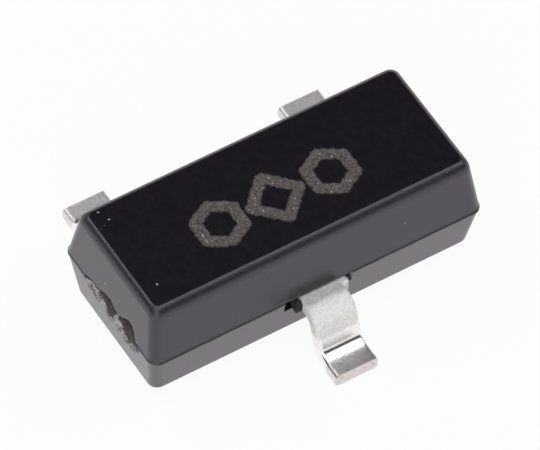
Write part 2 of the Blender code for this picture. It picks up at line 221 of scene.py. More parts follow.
def studio_world():
    """White at the horizon and dim overhead."""
    world = bpy.data.worlds.new("studio")
    world.use_nodes = True
    tree = world.node_tree
    direction = add_node(tree, "ShaderNodeTexCoord").outputs["Generated"]
    height = add_node(tree, "ShaderNodeSeparateXYZ", Vector=direction).outputs["Z"]
    share = ramp_node(tree, height, HORIZON_LOW, HORIZON_HIGH)
    set_inputs(tree, tree.nodes["Background"], Color=mix_colours(tree, share, WHITE, CEILING))
    return world


table_mesh = edited(
    bpy.data.meshes.new("table"),
    lambda shape: bmesh.ops.create_circle(
        shape, cap_ends=True, radius=TABLE_RADIUS, segments=TABLE_STEPS))
table_mesh.materials.append(table_material())
table = new_object("table", table_mesh)
bpy.context.scene.world = studio_world()
print("table of", TABLE_RADIUS, "m")

# %% Softboxes
# name, direction from the part, distance, width and depth in metres, radiance
SOFTBOXES = [
    ("front_softbox", (0.22, -0.20, 0.96), 0.40, 0.80, 0.32, 1.6),
    ("fill_softbox", (-0.50, -0.65, 0.57), 0.50, 0.50, 0.50, 1.05),
    ("back_softbox", (-0.28, 0.53, 0.80), 0.45, 0.33, 0.26, 2.2),
]
for name, direction, distance, width, depth, radiance in SOFTBOXES:
    lamp = bpy.data.lights.new(name, "AREA")
    lamp.shape, lamp.size, lamp.size_y = "ELLIPSE", width, depth
    lamp.energy = radiance * math.pi * (math.pi * width * depth / 4)
    away = Vector(direction).normalized()
    level = Vector((1, 0, 0)) - away * away.x
    turned = level.normalized(), away.cross(level).normalized(), away
    new_object(name, lamp).matrix_world = standing(away * distance, turned)
    print(name, round(lamp.energy, 2), "W")

# %% [markdown]
# Two surface effects come back in several finishes, so each is a node group with named inputs:
# a fine grain, which every moulded, plated or pressed surface shows through a macro lens, and
# small scattered specks. Both read Object coordinates, so they stay on the part when it turns.

# %% Shader groups
MICROMETRES_IN_A_METRE = 1e6


def start_group(name, inputs, output):
    """A shader group with these float inputs (name: default) and one output, and its end nodes."""
    group = bpy.data.node_groups.new(name, "ShaderNodeTree")
    for label, default in inputs.items():
        group.interface.new_socket(
            name=label, in_out="INPUT", socket_type="NodeSocketFloat").default_value = default
    group.interface.new_socket(name=output, in_out="OUTPUT", socket_type="NodeSocketFloat")
    return group, group.nodes.new("NodeGroupInput"), group.nodes.new("NodeGroupOutput")


def object_places(tree, scale):
    """Object coordinates, times a scale."""
    return scaled(tree, add_node(tree, "ShaderNodeTexCoord").outputs["Object"], scale)


def build_grain_group():
    """Fine grain: a smooth random value, with cells of the given size in micrometres."""
    group, start, end = start_group(
        "fine_grain", {"Cell": 20.0, "Detail": 2.0, "Shift": 0.0}, "Value")
    scale = math_node(group, "DIVIDE", MICROMETRES_IN_A_METRE, start.outputs["Cell"])
    texture = add_node(
        group, "ShaderNodeTexNoise", {"noise_dimensions": "4D"}, Vector=object_places(group, scale),
        W=start.outputs["Shift"], Detail=start.outputs["Detail"], Scale=1.0)
    group.links.new(texture.outputs["Fac"], end.inputs["Value"])
    return group


def build_speck_group():
    """Scattered specks: 1 on a speck and 0 off it. Spacing and Size are in micrometres."""
    group, start, end = start_group(
        "scattered_specks", {"Spacing": 200.0, "Size": 12.0, "Share": 0.4}, "Mask")
    scale = math_node(group, "DIVIDE", MICROMETRES_IN_A_METRE, start.outputs["Spacing"])
    cells = add_node(group, "ShaderNodeTexVoronoi", Vector=object_places(group, scale), Scale=1.0)
    chance = add_node(group, "ShaderNodeSeparateColor", Color=cells.outputs["Color"])
    radius = math_node(group, "DIVIDE", start.outputs["Size"], start.outputs["Spacing"])
    grown = times(group, radius, chance.outputs["Green"])
    inside = math_node(group, "LESS_THAN", cells.outputs["Distance"], grown)
    chosen = math_node(group, "LESS_THAN", chance.outputs["Red"], start.outputs["Share"])
    group.links.new(times(group, inside, chosen), end.inputs["Mask"])
    return group


GRAIN = build_grain_group()
SPECKS = build_speck_group()
print("groups", [group.name for group in (GRAIN, SPECKS)])

# %% Placing the groups in a material
def new_finish(name, colour, roughness, metallic=0.0):
    """A material with the plain values on its shader's own sockets."""
    material = bpy.data.materials.new(name)
    material.use_nodes = True
    shader = material.node_tree.nodes["Principled BSDF"]
    shader.inputs["Base Color"].default_value = (*colour, 1)
    shader.inputs["Roughness"].default_value = roughness
    shader.inputs["Metallic"].default_value = metallic
    return material, material.node_tree, shader


def grain(tree, cell, detail=2.0, shift=0.0):
    """A grain with cells of so many micrometres. Another shift gives another grain."""
    node = add_node(
        tree, "ShaderNodeGroup", {"node_tree": GRAIN}, Cell=cell, Detail=detail, Shift=shift)
    return node.outputs["Value"]


def patches(tree, cell, detail, shift, spread=(0.3, 0.7), between=(0.0, 1.0)):
    """A grain made into patches: this spread of its values is stretched over a whole range."""
    return ramp_node(tree, grain(tree, cell, detail, shift), *spread, *between)


def specks(tree, spacing, size, share):
    """1 on specks of this size and spacing in micrometres, where this share of them is kept."""
    node = add_node(
        tree, "ShaderNodeGroup", {"node_tree": SPECKS}, Spacing=spacing, Size=size, Share=share)
    return node.outputs["Mask"]


def attributes(tree, *names):
    """The values that the mesh code painted on the piece's points under these names."""
    return [add_node(tree, "ShaderNodeAttribute", {"attribute_name": name}).outputs["Fac"]
            for name in names]


def add_bump(tree, shader, height, micrometres):
    bump = add_node(
        tree, "ShaderNodeBump", Height=height, Distance=micrometres / MICROMETRES_IN_A_METRE)
    set_inputs(tree, shader, Normal=bump.outputs["Normal"])


# %% [markdown]
# The moulding is black epoxy filled with ground silica. Its skin is nearly smooth, with a grain of
# a few micrometres that blurs reflections, and here and there a filler particle shows as a speck.
# The rounded top edge is worn duller than the flat faces. Where the gate was broken off, the
# fracture is rough and brownish grey, and its crevice is painted dark brown, going to black under
# the upper edge, as painted shade. Where the laser marked the top, the skin is burnt to a rough
# grey-brown. The mesh code paints those places on the points as the attributes worn, torn (with its
# crevice and chips) and lasered, so one material follows the shape exactly.

# %% Moulding compound
COMPOUND_BLACK = (0.0060, 0.0054, 0.0078)
CLOUD_DARK, CLOUD_LIGHT = (0.0046, 0.0041, 0.0062, 1), (0.0066, 0.0059, 0.0086, 1)
COMPOUND_SHEEN = (0.965, 0.875, 1.0, 1)
SPECK_LIGHT = (0.22, 0.21, 0.20, 1)
LASERED_DARK, LASERED_LIGHT = (0.035, 0.030, 0.026, 1), (0.142, 0.122, 0.097, 1)
TORN_DARK, TORN_LIGHT = (0.11, 0.10, 0.10, 1), (0.49, 0.475, 0.47, 1)
# The gate's crevice is brownish like the fracture and painted darker as painted shade, near black
# where it runs deepest under the upper edge
SHADED_CREVICE_BROWN, SHADED_CREVICE_RUST = (0.030, 0.022, 0.016, 1), (0.085, 0.059, 0.040, 1)
CREVICE_PAINTED_SHADE = (0.003, 0.0025, 0.002, 1)
# Roughness of the bare skin, what a rough place adds to it, and how much of that the scuffs have
SKIN_ROUGHNESS, ROUGH_ADDS, SCUFFED = (0.21, 0.25), 0.42, (0.20, 0.60)
# Relief in micrometres, and the heights in it of the skin's grain, of rubble and of a worn edge
RELIEF, SKIN_HEIGHT, RUBBLE_HEIGHT, WORN_HEIGHT = 0.30, 0.35, 4.0, 0.5


def moulding_material():
    material, tree, shader = new_finish("moulding_compound", COMPOUND_BLACK, 0.25)
    shader.inputs["Specular IOR Level"].default_value = 1.0
    shader.inputs["Specular Tint"].default_value = COMPOUND_SHEEN
    lasered, torn, crevice, chip, worn = attributes(
        tree, "lasered", "torn", "crevice", "chip", "worn")
    black = mix_colours(tree, grain(tree, 300, 3.0), CLOUD_DARK, CLOUD_LIGHT)
    black = mix_colours(tree, specks(tree, 190, 8, 0.15), black, SPECK_LIGHT)
    charred = patches(tree, 16, 3.0, 2.0, (0.38, 0.62))
    burnt = mix_colours(tree, charred, LASERED_DARK, LASERED_LIGHT)
    dusty = patches(tree, 26, 3.0, 5.0)
    pale = math_node(tree, "MULTIPLY_ADD", dusty, 0.4, times(tree, chip, 0.6))
    broken = mix_colours(tree, ramp_node(tree, pale, 0.2, 0.8), TORN_DARK, TORN_LIGHT)
    # Painted shade: the crevice is painted dark brown, and near black deepest under the upper edge
    rusty = patches(tree, 30, 3.0, 7.0, (0.45, 0.65))
    hollow = mix_colours(tree, rusty, SHADED_CREVICE_BROWN, SHADED_CREVICE_RUST)
    hollow = mix_colours(tree, ramp_node(tree, crevice, 0.15, 0.65), hollow, CREVICE_PAINTED_SHADE)
    broken = mix_colours(tree, ramp_node(tree, crevice, 0.0, 0.12), broken, hollow)
    colour = mix_colours(tree, torn, mix_colours(tree, lasered, black, burnt), broken)
    rough = math_node(tree, "MAXIMUM", lasered, torn)
    scuffs = patches(tree, 13, 2.0, 9.0, (0.35, 0.65), SCUFFED)
    dull = math_node(tree, "MAXIMUM", rough, times(tree, worn, scuffs))
    skin = patches(tree, 60, 2.0, 1.0, between=SKIN_ROUGHNESS)
    set_inputs(tree, shader, Base_Color=colour,
               Roughness=math_node(tree, "MULTIPLY_ADD", dull, ROUGH_ADDS, skin))
    uneven = math_node(tree, "MAXIMUM", rough, times(tree, worn, WORN_HEIGHT))
    rubble = times(tree, times(tree, grain(tree, 14, 3.0, 4.0), uneven), RUBBLE_HEIGHT)
    fine = times(tree, grain(tree, 8, 2.0, 3.0), SKIN_HEIGHT)
    add_bump(tree, shader, math_node(tree, "ADD", fine, rubble), RELIEF)
    return material


MOULDING = moulding_material()

# %% [markdown]
# The leads are copper strip with a coat of matt tin, a little warm in tone. The first bend
# stretched the tin to a white frost, less so down the riser. The forming tool has rubbed it bright
# round the second bend, the sheared ends show the copper through a smear of tin, and one of the
# stubs is painted near black. The attributes frost, rubbed, cut and resin say where.

# %% Tinned copper
TIN = (0.78, 0.745, 0.72)
TIN_SHADE, TIN_LIGHT = (0.68, 0.655, 0.65, 1), (0.84, 0.815, 0.80, 1)
FROSTED_SHADE, FROSTED_LIGHT = (0.85, 0.83, 0.83, 1), (1.0, 0.985, 0.98, 1)
RUBBED_TIN = (0.95, 0.93, 0.91, 1)
BARE_COPPER, SMEARED_COPPER = (0.52, 0.42, 0.39, 1), (0.72, 0.66, 0.65, 1)
# One stub is painted near black, and is not metal there
DARK_STUB_COLOUR = (0.012, 0.011, 0.013, 1)
# Roughness of the plain tin, what frost adds to it, and the share that rubbing takes away
TIN_ROUGHNESS, FROST_ADDS, RUBBING_TAKES = (0.33, 0.39), 0.36, 0.4
# The share of the metal's own gloss that frost hides
FROST_HIDES = 0.85
# Relief in micrometres, and the heights in it of the tin's crystals, of what rubbing takes off
# them, and of a sheared end
TIN_RELIEF, CRYSTAL_HEIGHT, RUBBED_OFF, SHEARED_HEIGHT = 1.0, 1.5, 1.4, 3.0


def tin_material():
    material, tree, shader = new_finish("tinned_copper", TIN, 0.40, 1.0)
    rubbed, frost, cut, resin = attributes(tree, "rubbed", "frost", "cut", "resin")
    mottle = patches(tree, 22, 3.0, 1.0, (0.32, 0.68))
    tin = mix_colours(tree, frost, mix_colours(tree, mottle, TIN_SHADE, TIN_LIGHT),
                      mix_colours(tree, mottle, FROSTED_SHADE, FROSTED_LIGHT))
    tin = mix_colours(tree, rubbed, tin, RUBBED_TIN)
    smear = patches(tree, 24, 3.0, 6.0, (0.28, 0.50))
    metal = mix_colours(tree, cut, tin, mix_colours(tree, smear, BARE_COPPER, SMEARED_COPPER))
    glossy = math_node(tree, "MULTIPLY_ADD", frost, -FROST_HIDES, 1.0)
    matt = patches(tree, 20, 2.0, 2.0, between=TIN_ROUGHNESS)
    matt = math_node(tree, "MULTIPLY_ADD", frost, FROST_ADDS, matt)
    polish = math_node(tree, "MULTIPLY_ADD", rubbed, -RUBBING_TAKES, 1.0)
    set_inputs(tree, shader, Base_Color=mix_colours(tree, resin, metal, DARK_STUB_COLOUR),
               Metallic=times(tree, glossy, math_node(tree, "SUBTRACT", 1.0, resin)),
               Roughness=times(tree, matt, polish))
    crystals = math_node(tree, "MULTIPLY_ADD", rubbed, -RUBBED_OFF, CRYSTAL_HEIGHT)
    crystals = times(tree, grain(tree, 16, 3.0, 4.0), crystals)
    sheared = times(tree, grain(tree, 12, 3.0, 5.0), times(tree, cut, SHEARED_HEIGHT))
    add_bump(tree, shader, math_node(tree, "ADD", crystals, sheared), TIN_RELIEF)
    return material


TINNED_COPPER = tin_material()

# %% [markdown]
# The skin of the moulding is one closed surface: rings round the body from the underside to the
# top, then a fine grid over the flat top. The CAD model gives the form, with its draft, rounded
# edges and the bead of flash at the parting line. The rings are packed closely where the gate was
# torn off, and the grid is fine enough, at a hundredth of a millimetre, to carry the laser marks.
# A surface made from rings gives even squares, which a remesh of the CAD solid doesn't.

# %% Sizes of the moulding, in millimetres
BODY_LENGTH, BODY_WIDTH = 2.88, 1.29
TOP_HEIGHT, STANDOFF, PARTING_HEIGHT = 0.98, 0.05, 0.475
END_DRAFT, SIDE_DRAFT = math.radians(7.0), math.radians(10.5)
CORNER_RADIUS, BOTTOM_FILLET = 0.08, 0.02
# How much of the worn edge's width the upright corners lose towards the top
CORNER_SHRINK = 0.6
# The top edge is worn a little rounder here than in the CAD model: up to the tilt WORN_TILT it has
# the first of its radii, and the second one further down, where it runs out into the wall
SIDE_EDGE, END_EDGE, BOTTOM_EDGE = (0.070, 0.120), (0.058, 0.095), (BOTTOM_FILLET, BOTTOM_FILLET)
WORN_TILT = math.radians(33.0)
# Steps in which an edge's shape is worked out
EDGE_STEPS = 60
# The bead of flash: its height and reach, how much of the reach varies, in how many waves to the
# millimetre, and how much of it is missing on the ends
FLASH_HEIGHT, FLASH_REACH = 0.034, 0.0120
FLASH_VARIES, FLASH_WAVES, FLASH_END_LOSS = 0.4, 9, 0.4
# Rings on the bead, as shares of its height, and how near to its middle no other ring comes
BEAD_RINGS, BEAD_ROOM = (-0.5, -0.3, -0.12, 0.12, 0.3, 0.5), 0.8
# The skin lies this far inside the CAD surface, so that the two never cross
SKIN_INSET = 0.0025
TOP_Z = TOP_HEIGHT - SKIN_INSET
# The gate was torn off between these distances below and above the parting line
GATE_BELOW, GATE_ABOVE = 0.20, 0.16
GRID = 0.010
LOWER_STEP, UPPER_STEP = 2.5 * GRID, 2 * GRID
# The flat top is about this long and wide, which sets how many cells of the grid it takes
FLAT_LENGTH, FLAT_WIDTH = 2.62, 0.96
ALONG, ACROSS = round(FLAT_LENGTH / GRID), round(FLAT_WIDTH / GRID)
CORNER_STEPS, FILLET_STEPS = ((7, 13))
half_length, half_width = BODY_LENGTH / 2, BODY_WIDTH / 2
print("grid", GRID, "mm:", ALONG, "by", ACROSS, "cells")


# %% Rings round the body
def edge_shape(radii, tilt):
    """How far out and how far down an edge has come from the flat at this tilt."""
    tight, wide = radii
    turn = np.minimum(tilt, WORN_TILT)
    out = tight * np.sin(turn) + wide * (np.sin(tilt) - np.sin(turn))
    down = tight * (1 - np.cos(turn)) + wide * (np.cos(turn) - np.cos(tilt))
    return out, down


def cap_offset(depth, draft, radii):
    """How far out the wall is at a depth under its cap, from the sharp corner of cap and wall."""
    out, down = edge_shape(radii, np.linspace(0, math.pi / 2 - draft, EDGE_STEPS))
    if depth < down[-1]:
        return np.interp(depth, down, out) - (out[-1] - down[-1] * math.tan(draft))
    return depth * math.tan(draft)


def ring_sizes(z):
    """Half length, half width and corner radius of the body at a height."""
    upper = z > PARTING_HEIGHT
    cap = TOP_HEIGHT if upper else STANDOFF
    end_edge, side_edge = (END_EDGE, SIDE_EDGE) if upper else (BOTTOM_EDGE, BOTTOM_EDGE)
    height, depth = abs(cap - PARTING_HEIGHT), abs(cap - z)
    along = cap_offset(depth, END_DRAFT, end_edge) - height * math.tan(END_DRAFT)
    across = cap_offset(depth, SIDE_DRAFT, side_edge) - height * math.tan(SIDE_DRAFT)
    lost = depth * math.tan(SIDE_DRAFT) - cap_offset(depth, SIDE_DRAFT, side_edge)
    return half_length + along, half_width + across, CORNER_RADIUS - CORNER_SHRINK * lost


def ring(half_x, half_y, radius):
    """Points round a rounded rectangle, counter-clockwise from the left end of the front side."""
    x, y = half_x - radius, half_y - radius
    sides = [((-x, -half_y), (x, -half_y), ALONG), ((half_x, -y), (half_x, y), ACROSS),
             ((x, half_y), (-x, half_y), ALONG), ((-half_x, y), (-half_x, -y), ACROSS)]
    middles = [(x, -y), (x, y), (-x, y), (-x, -y)]
    points = []
    for quarter, ((start, end, count), middle) in enumerate(zip(sides, middles)):
        share = np.arange(count)[:, None] / count
        points.append(np.array(start) * (1 - share) + np.array(end) * share)
        turn = (quarter - 1) * math.pi / 2 + np.arange(CORNER_STEPS) / CORNER_STEPS * math.pi / 2
        points.append(np.array(middle) + radius * np.stack([np.cos(turn), np.sin(turn)], 1))
    return np.concatenate(points)


def ring_heights():
    """Close together in the fillets and at the gate, and wider apart on the plain walls."""
    tilts = np.linspace(0, math.pi / 2 - SIDE_DRAFT, FILLET_STEPS)
    foot = STANDOFF + edge_shape(BOTTOM_EDGE, tilts[::2])[1]
    crown = TOP_HEIGHT - edge_shape(SIDE_EDGE, tilts[::-1])[1]
    gate_low, gate_high = PARTING_HEIGHT - GATE_BELOW, PARTING_HEIGHT + GATE_ABOVE
    lower = np.arange(foot[-1] + LOWER_STEP, gate_low - GRID, LOWER_STEP)
    gate = np.arange(gate_low, gate_high, GRID)
    gate = gate[abs(gate - PARTING_HEIGHT) > BEAD_ROOM * FLASH_HEIGHT]
    bead = PARTING_HEIGHT + np.array(BEAD_RINGS) * FLASH_HEIGHT
    upper = np.arange(gate_high, crown[0] - GRID, UPPER_STEP)
    return np.sort(np.concatenate([foot, lower, gate, bead, upper, crown]))


heights = ring_heights()
print(len(heights), "rings of", len(ring(1.0, 1.0, 0.1)), "points")


# %% The bare skin
WELD_DISTANCE = 1e-5


def mesh_from(name, points, edges=(), faces=()):
    mesh = bpy.data.meshes.new(name)
    mesh.from_pydata(points, edges, faces)
    return mesh


def weld(mesh):
    """Merges the mesh's doubled points, and drops the faces that vanish with them."""
    def merge(shape):
        bmesh.ops.remove_doubles(shape, verts=shape.verts, dist=WELD_DISTANCE)
        bmesh.ops.dissolve_degenerate(shape, edges=shape.edges, dist=WELD_DISTANCE)
    return edited(mesh, merge)


def at_height(points, z):
    """Flat points brought to a height."""
    return np.column_stack([points, np.full(len(points), z)])


def ring_faces(first, around):
    """The squares between the ring that starts at the first of these points and the next ring."""
    for here in range(around):
        after = (here + 1) % around
        yield first + here, first + after, first + around + after, first + around + here


def soft_step(value, low, high):
    """0 below low, 1 above high and a smooth step between them."""
    share = np.clip((value - low) / (high - low), 0, 1)
    return share * share * (3 - 2 * share)


def bead_reach(points, z):
    """How far the flash stands out at each point: unevenly, and less on the ends."""
    rise = max(0.0, 1 - (abs(z - PARTING_HEIGHT) / (FLASH_HEIGHT / 2)) ** 2)
    if rise == 0:
        return 0.0
    uneven = np.array([0.5 + 0.5 * noise.noise(Vector((*place, 3.0)))
                       for place in points * FLASH_WAVES])
    end = soft_step(abs(points[:, 0]), half_length - 0.06, half_length - 0.02)
    varied = 1 - FLASH_VARIES + FLASH_VARIES * uneven
    return FLASH_REACH * rise * varied * (1 - FLASH_END_LOSS * end)


def skin_mesh():
    """The closed skin, bottom to top, without any mark on it."""
    rings = []
    for z in heights:
        half_x, half_y, radius = ring_sizes(z)
        points = ring(half_x - SKIN_INSET, half_y - SKIN_INSET, radius)
        grown = ring(half_x - SKIN_INSET + 1, half_y - SKIN_INSET + 1, radius + 1) - points
        points = points + grown * np.reshape(bead_reach(points, z), (-1, 1))
        inset_z = min(max(z, STANDOFF + SKIN_INSET), TOP_Z)
        rings.append(at_height(points, inset_z))
    half_x, half_y, radius = ring_sizes(TOP_HEIGHT)
    half_x, half_y = half_x - SKIN_INSET, half_y - SKIN_INSET
    inward = max(2, round(radius / GRID))
    for step in range(1, inward + 1):
        share = step / inward
        points = ring(half_x - share * radius, half_y - share * radius, radius * (1 - share))
        rings.append(at_height(points, TOP_Z))
    around = len(rings[0])
    faces = [tuple(range(around))[::-1]]
    for level in range(len(rings) - 1):
        faces += ring_faces(level * around, around)
    first = len(rings) * around
    xs = np.linspace(-(half_x - radius), half_x - radius, ALONG + 1)
    ys = np.linspace(-(half_y - radius), half_y - radius, ACROSS + 1)
    flat = np.stack(np.meshgrid(xs, ys, [TOP_Z]), -1).reshape(-1, 3)
    for row in range(ACROSS):
        for column in range(ALONG):
            corner = first + row * (ALONG + 1) + column
            faces.append((corner, corner + 1, corner + ALONG + 2, corner + ALONG + 1))
    return weld(mesh_from("skin", np.concatenate([*rings, flat]), faces=faces))


bare_skin = skin_mesh()
print("skin:", len(bare_skin.vertices), "points,", len(bare_skin.polygons), "faces")

# %% [markdown]
# A laser burns the marking into the top of such a part. Here it is a plain row of outlines: a
# hexagon, a diamond and a hexagon. A stroke is a little less than a tenth of a millimetre wide and
# a few micrometres deep, with a ragged edge. A distance to the nearest stroke shapes them, because
# it gives round stroke ends and joints for nothing.

# %% Marking strokes
MARK_STROKE, MARK_DEPTH, MARK_EDGE = 0.084, 0.0055, 0.022
# How far the edge strays and in cells of what size, and the same of the floor's depth
MARK_RAGGED, RAGGED_CELL = 0.012, 0.03
FLOOR_UNEVEN, FLOOR_CELL = 0.35, 0.016
# No stroke lies further from the middle of the top than this
MARKS_REACH = 0.45


def closed_outline(centre, radius, corners, turn=0.0):
    """The corners of a regular outline, with the first one repeated at the end."""
    angles = turn + 2 * math.pi * np.arange(corners + 1) / corners
    return np.array(centre) + radius * np.stack([np.cos(angles), np.sin(angles)], 1)


MARKS = [
    closed_outline((-0.53, -0.08), 0.185, 6, turn=math.pi / 6),
    closed_outline((-0.05, -0.08), 0.205, 4),
    closed_outline((0.43, -0.08), 0.185, 6, turn=math.pi / 6),
]


def stroke_distance(x, y):
    """How far each place on the top is from the middle of the nearest stroke."""
    nearest = np.full(x.shape, 10.0)
    for outline in MARKS:
        for (x0, y0), (x1, y1) in zip(outline, outline[1:]):
            run, rise = x1 - x0, y1 - y0
            share = np.clip(((x - x0) * run + (y - y0) * rise) / (run**2 + rise**2), 0, 1)
            nearest = np.minimum(nearest, np.hypot(x - x0 - share * run, y - y0 - share * rise))
    return nearest


def wander(points, cell, shift):
    """Smooth random values of about -1 to 1 at the points, with cells of that size."""
    offset = Vector((shift, 2.7 * shift, -1.3 * shift))
    return np.array([noise.fractal(Vector(p) / cell + offset, 1.0, 2.0, 3) for p in points])


def lasered_share(points):
    """1 inside a stroke on the top and 0 elsewhere, with a ragged edge."""
    share = np.zeros(len(points))
    near = np.flatnonzero(
        (points[:, 2] > TOP_Z - 2 * MARK_DEPTH) & (abs(points[:, 1]) < MARKS_REACH))
    distance = stroke_distance(points[near, 0], points[near, 1])
    close = distance < MARK_STROKE
    near, distance = near[close], distance[close]
    flat = points[near] * (1, 1, 0)
    distance = distance + MARK_RAGGED * wander(flat, RAGGED_CELL, 4.0)
    inner, outer = (MARK_STROKE - MARK_EDGE) / 2, (MARK_STROKE + MARK_EDGE) / 2
    share[near] = 1 - soft_step(distance, inner, outer)
    return share


# %% [markdown]
# On the left end face, the resin was torn off at the gate, where it had run into the mould. The
# break starts as a low ledge of chips and ends in a crevice under its upper edge, much like broken
# slate. Two edge lines bound it and a third one parts the ledge from the crevice. The depth follows
# them, and cracked noise makes the facets.

# %% Torn gate
# Lines of (y, z from the parting line): the upper edge of the break, the foot of its crevice and
# its lower edge
GATE_UPPER_EDGE = [
    (-0.44, 0.004), (-0.38, 0.020), (-0.354, 0.094), (-0.31, 0.139), (-0.253, 0.135),
    (-0.176, 0.075), (-0.136, 0.054), (-0.068, 0.073), (-0.012, 0.104), (0.059, 0.092),
    (0.10, 0.070), (0.181, 0.045), (0.268, 0.040), (0.335, 0.011), (0.38, 0.004),
]
GATE_MIDDLE_LINE = [
    (-0.44, 0.000), (-0.385, 0.000), (-0.35, -0.090), (-0.309, -0.131), (-0.263, -0.130),
    (-0.227, -0.100), (-0.197, -0.036), (-0.157, 0.022), (-0.11, 0.045), (-0.07, -0.030),
    (-0.036, -0.100), (0.005, -0.095), (0.041, -0.068), (0.075, -0.015), (0.095, 0.015),
    (0.14, 0.035), (0.268, 0.026), (0.335, -0.006), (0.38, 0.000),
]
GATE_LOWER_EDGE = [
    (-0.44, -0.020), (-0.40, -0.120), (-0.33, -0.175), (-0.20, -0.190), (0.00, -0.180),
    (0.19, -0.170), (0.30, -0.110), (0.38, -0.020),
]
LEDGE_HEIGHT, CREVICE_DEPTH = 0.008, 0.085
# The crevice begins raggedly, by this share of the way up and in cells of this size, and it is
# at its deepest this share further up
CREVICE_RAGGED, CREVICE_CELL, CREVICE_RUN = 0.12, 0.025, 0.8
# Facets and crumbs, each with its size and depth, and how much a facet is sunk and crowned
FACET, FACET_DEPTH, CRUMB, CRUMB_DEPTH = 0.034, 0.018, 0.013, 0.006
FACET_SUNK, FACET_CROWNED = 0.9, 0.4
# The depth fades in above the lower edge, and out below the upper one
FADES_IN, FADES_OUT = (0.0, 0.3), (1.93, 2.0)
# The break stands out of the end face no further, and goes no deeper under it, than this
PROUDEST, DEEPEST = 0.0100, 0.100
# It lies on the end face, this far to each side of its middle
END_FACE_X, GATE_MIDDLE_Y, GATE_HALF_WIDTH = -1.30, -0.03, 0.41
# The edge lines count as at least this far apart, so that no share is divided by nothing
THINNEST = 1e-4


def gate_share(points):
    """How far up the break each point is, or -1 off it.

    It is 0 at the lower edge, 1 at the foot of the crevice and 2 at the upper edge.
    """
    y, z = points[:, 1], points[:, 2] - PARTING_HEIGHT
    upper, middle, lower = [np.interp(y, *np.transpose(edge))
                            for edge in (GATE_UPPER_EDGE, GATE_MIDDLE_LINE, GATE_LOWER_EDGE)]
    share = np.where(z > middle, 1 + (z - middle) / np.maximum(upper - middle, THINNEST),
                     1 - (middle - z) / np.maximum(middle - lower, THINNEST))
    beside = (abs(y - GATE_MIDDLE_Y) > GATE_HALF_WIDTH) | (points[:, 0] > END_FACE_X)
    return np.where((share < 0) | (share > 2) | beside, -1.0, share)


def fragments(points, cell):
    """Each point's fragment: a random value of its own, and how far inside the point lies."""
    own, inside = [], []
    for _, y, z in points:
        distances, centres = noise.voronoi(Vector((0, y, z)) / cell)
        own.append(0.5 + 0.5 * noise.cell(centres[0] * 7.0))
        inside.append(distances[1] - distances[0])
    return np.array(own), np.array(inside)


def crevice_share(points, share):
    """How far into the crevice each point is: 0 on the ledge of chips, 1 under the upper edge."""
    ragged = share + CREVICE_RAGGED * wander(points * (0, 1, 1), CREVICE_CELL, 8.0)
    return np.clip((ragged - 1) / CREVICE_RUN, 0, 1)


def torn_depth(points, share):
    """How deep the break lies under the drafted end face."""
    own, inside = fragments(points, FACET)
    depth = CREVICE_DEPTH * crevice_share(points, share) - LEDGE_HEIGHT
    facets = FACET_DEPTH * (FACET_SUNK * own - FACET_CROWNED * inside)
    depth += facets + CRUMB_DEPTH * wander(points, CRUMB, 3.0)
    faded = soft_step(share, *FADES_IN) * (1 - soft_step(share, *FADES_OUT))
    return np.clip(depth * faded, -PROUDEST, DEEPEST)


def end_wall(points):
    """The x of the plain end face at each point's height."""
    return -half_length + SKIN_INSET + abs(points[:, 2] - PARTING_HEIGHT) * math.tan(END_DRAFT)


# %% Carving the skin
def read_vectors(rows, name):
    """One vector a row of a mesh's own table, as an array."""
    flat = np.empty(3 * len(rows), np.float32)
    rows.foreach_get(name, flat)
    return flat.reshape(-1, 3)


def read_points(mesh):
    return read_vectors(mesh.vertices, "co").astype(float)


def point_normals(mesh):
    return read_vectors(mesh.vertex_normals, "vector")


def write_points(mesh, points):
    mesh.vertices.foreach_set("co", points.astype(np.float32).ravel())
    mesh.update()


def carve(mesh):
    """Tears the gate and burns the marking into the skin's own points."""
    points = read_points(mesh)
    lasered = lasered_share(points)
    burnt = np.flatnonzero(lasered > 0)
    floor = MARK_DEPTH * (1 + FLOOR_UNEVEN * wander(points[burnt], FLOOR_CELL, 6.0))
    points[burnt, 2] -= lasered[burnt] * floor
    share = gate_share(points)
    torn = np.flatnonzero(share >= 0)
    points[torn, 0] = end_wall(points[torn]) + torn_depth(points[torn], share[torn])
    write_points(mesh, points)
    return mesh


carved_skin = carve(bare_skin)
print("carved", int((lasered_share(read_points(carved_skin)) > 0.5).sum()), "marked points")

# %% [markdown]
# The CAD moulding is hollow where the leads, the die and the wires sit, and stepped back beside
# each lead. The skin gets those hollows by keeping only what lies inside the CAD solid. A small
# block is added to that solid at the gate first, so that the chips there aren't cut away.
# Blender's Manifold boolean does this in a moment on closed meshes.

# %% Solid helpers
TO_MILLIMETRES = Matrix.Scale(1 / MM, 4)


def cad_copy(node):
    """The CAD node's mesh as a welded copy in millimetres. The node itself isn't touched."""
    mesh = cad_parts[node].data.copy()
    mesh.transform(TO_MILLIMETRES)
    return weld(mesh)


def evaluated_mesh(thing):
    """A new mesh of what an object's modifiers make of it."""
    graph = bpy.context.evaluated_depsgraph_get()
    return bpy.data.meshes.new_from_object(thing.evaluated_get(graph))


def combine(mesh, other, operation):
    """The mesh joined with, cut by or kept inside the other one."""
    kept, tool = new_object("kept", mesh), new_object("other", other)
    boolean = kept.modifiers.new("combine", "BOOLEAN")
    boolean.operation, boolean.solver, boolean.object = operation, "MANIFOLD", tool
    result = evaluated_mesh(kept)
    for each in (kept, tool):
        bpy.data.objects.remove(each)
    return result


def block(low, high):
    """A plain block between two corners."""
    low, high = Vector(low), Vector(high)

    def fill(shape):
        bmesh.ops.create_cube(shape, size=1)
        bmesh.ops.scale(shape, vec=high - low, verts=shape.verts)
        bmesh.ops.translate(shape, vec=(low + high) / 2, verts=shape.verts)
    return edited(bpy.data.meshes.new("block"), fill)


def paint(mesh, **layers):
    """Stores values on the points, under these names, for the materials to read."""
    for name, values in layers.items():
        layer = mesh.attributes.new(name, "FLOAT", "POINT")
        layer.data.foreach_set("value", np.asarray(values, np.float32))


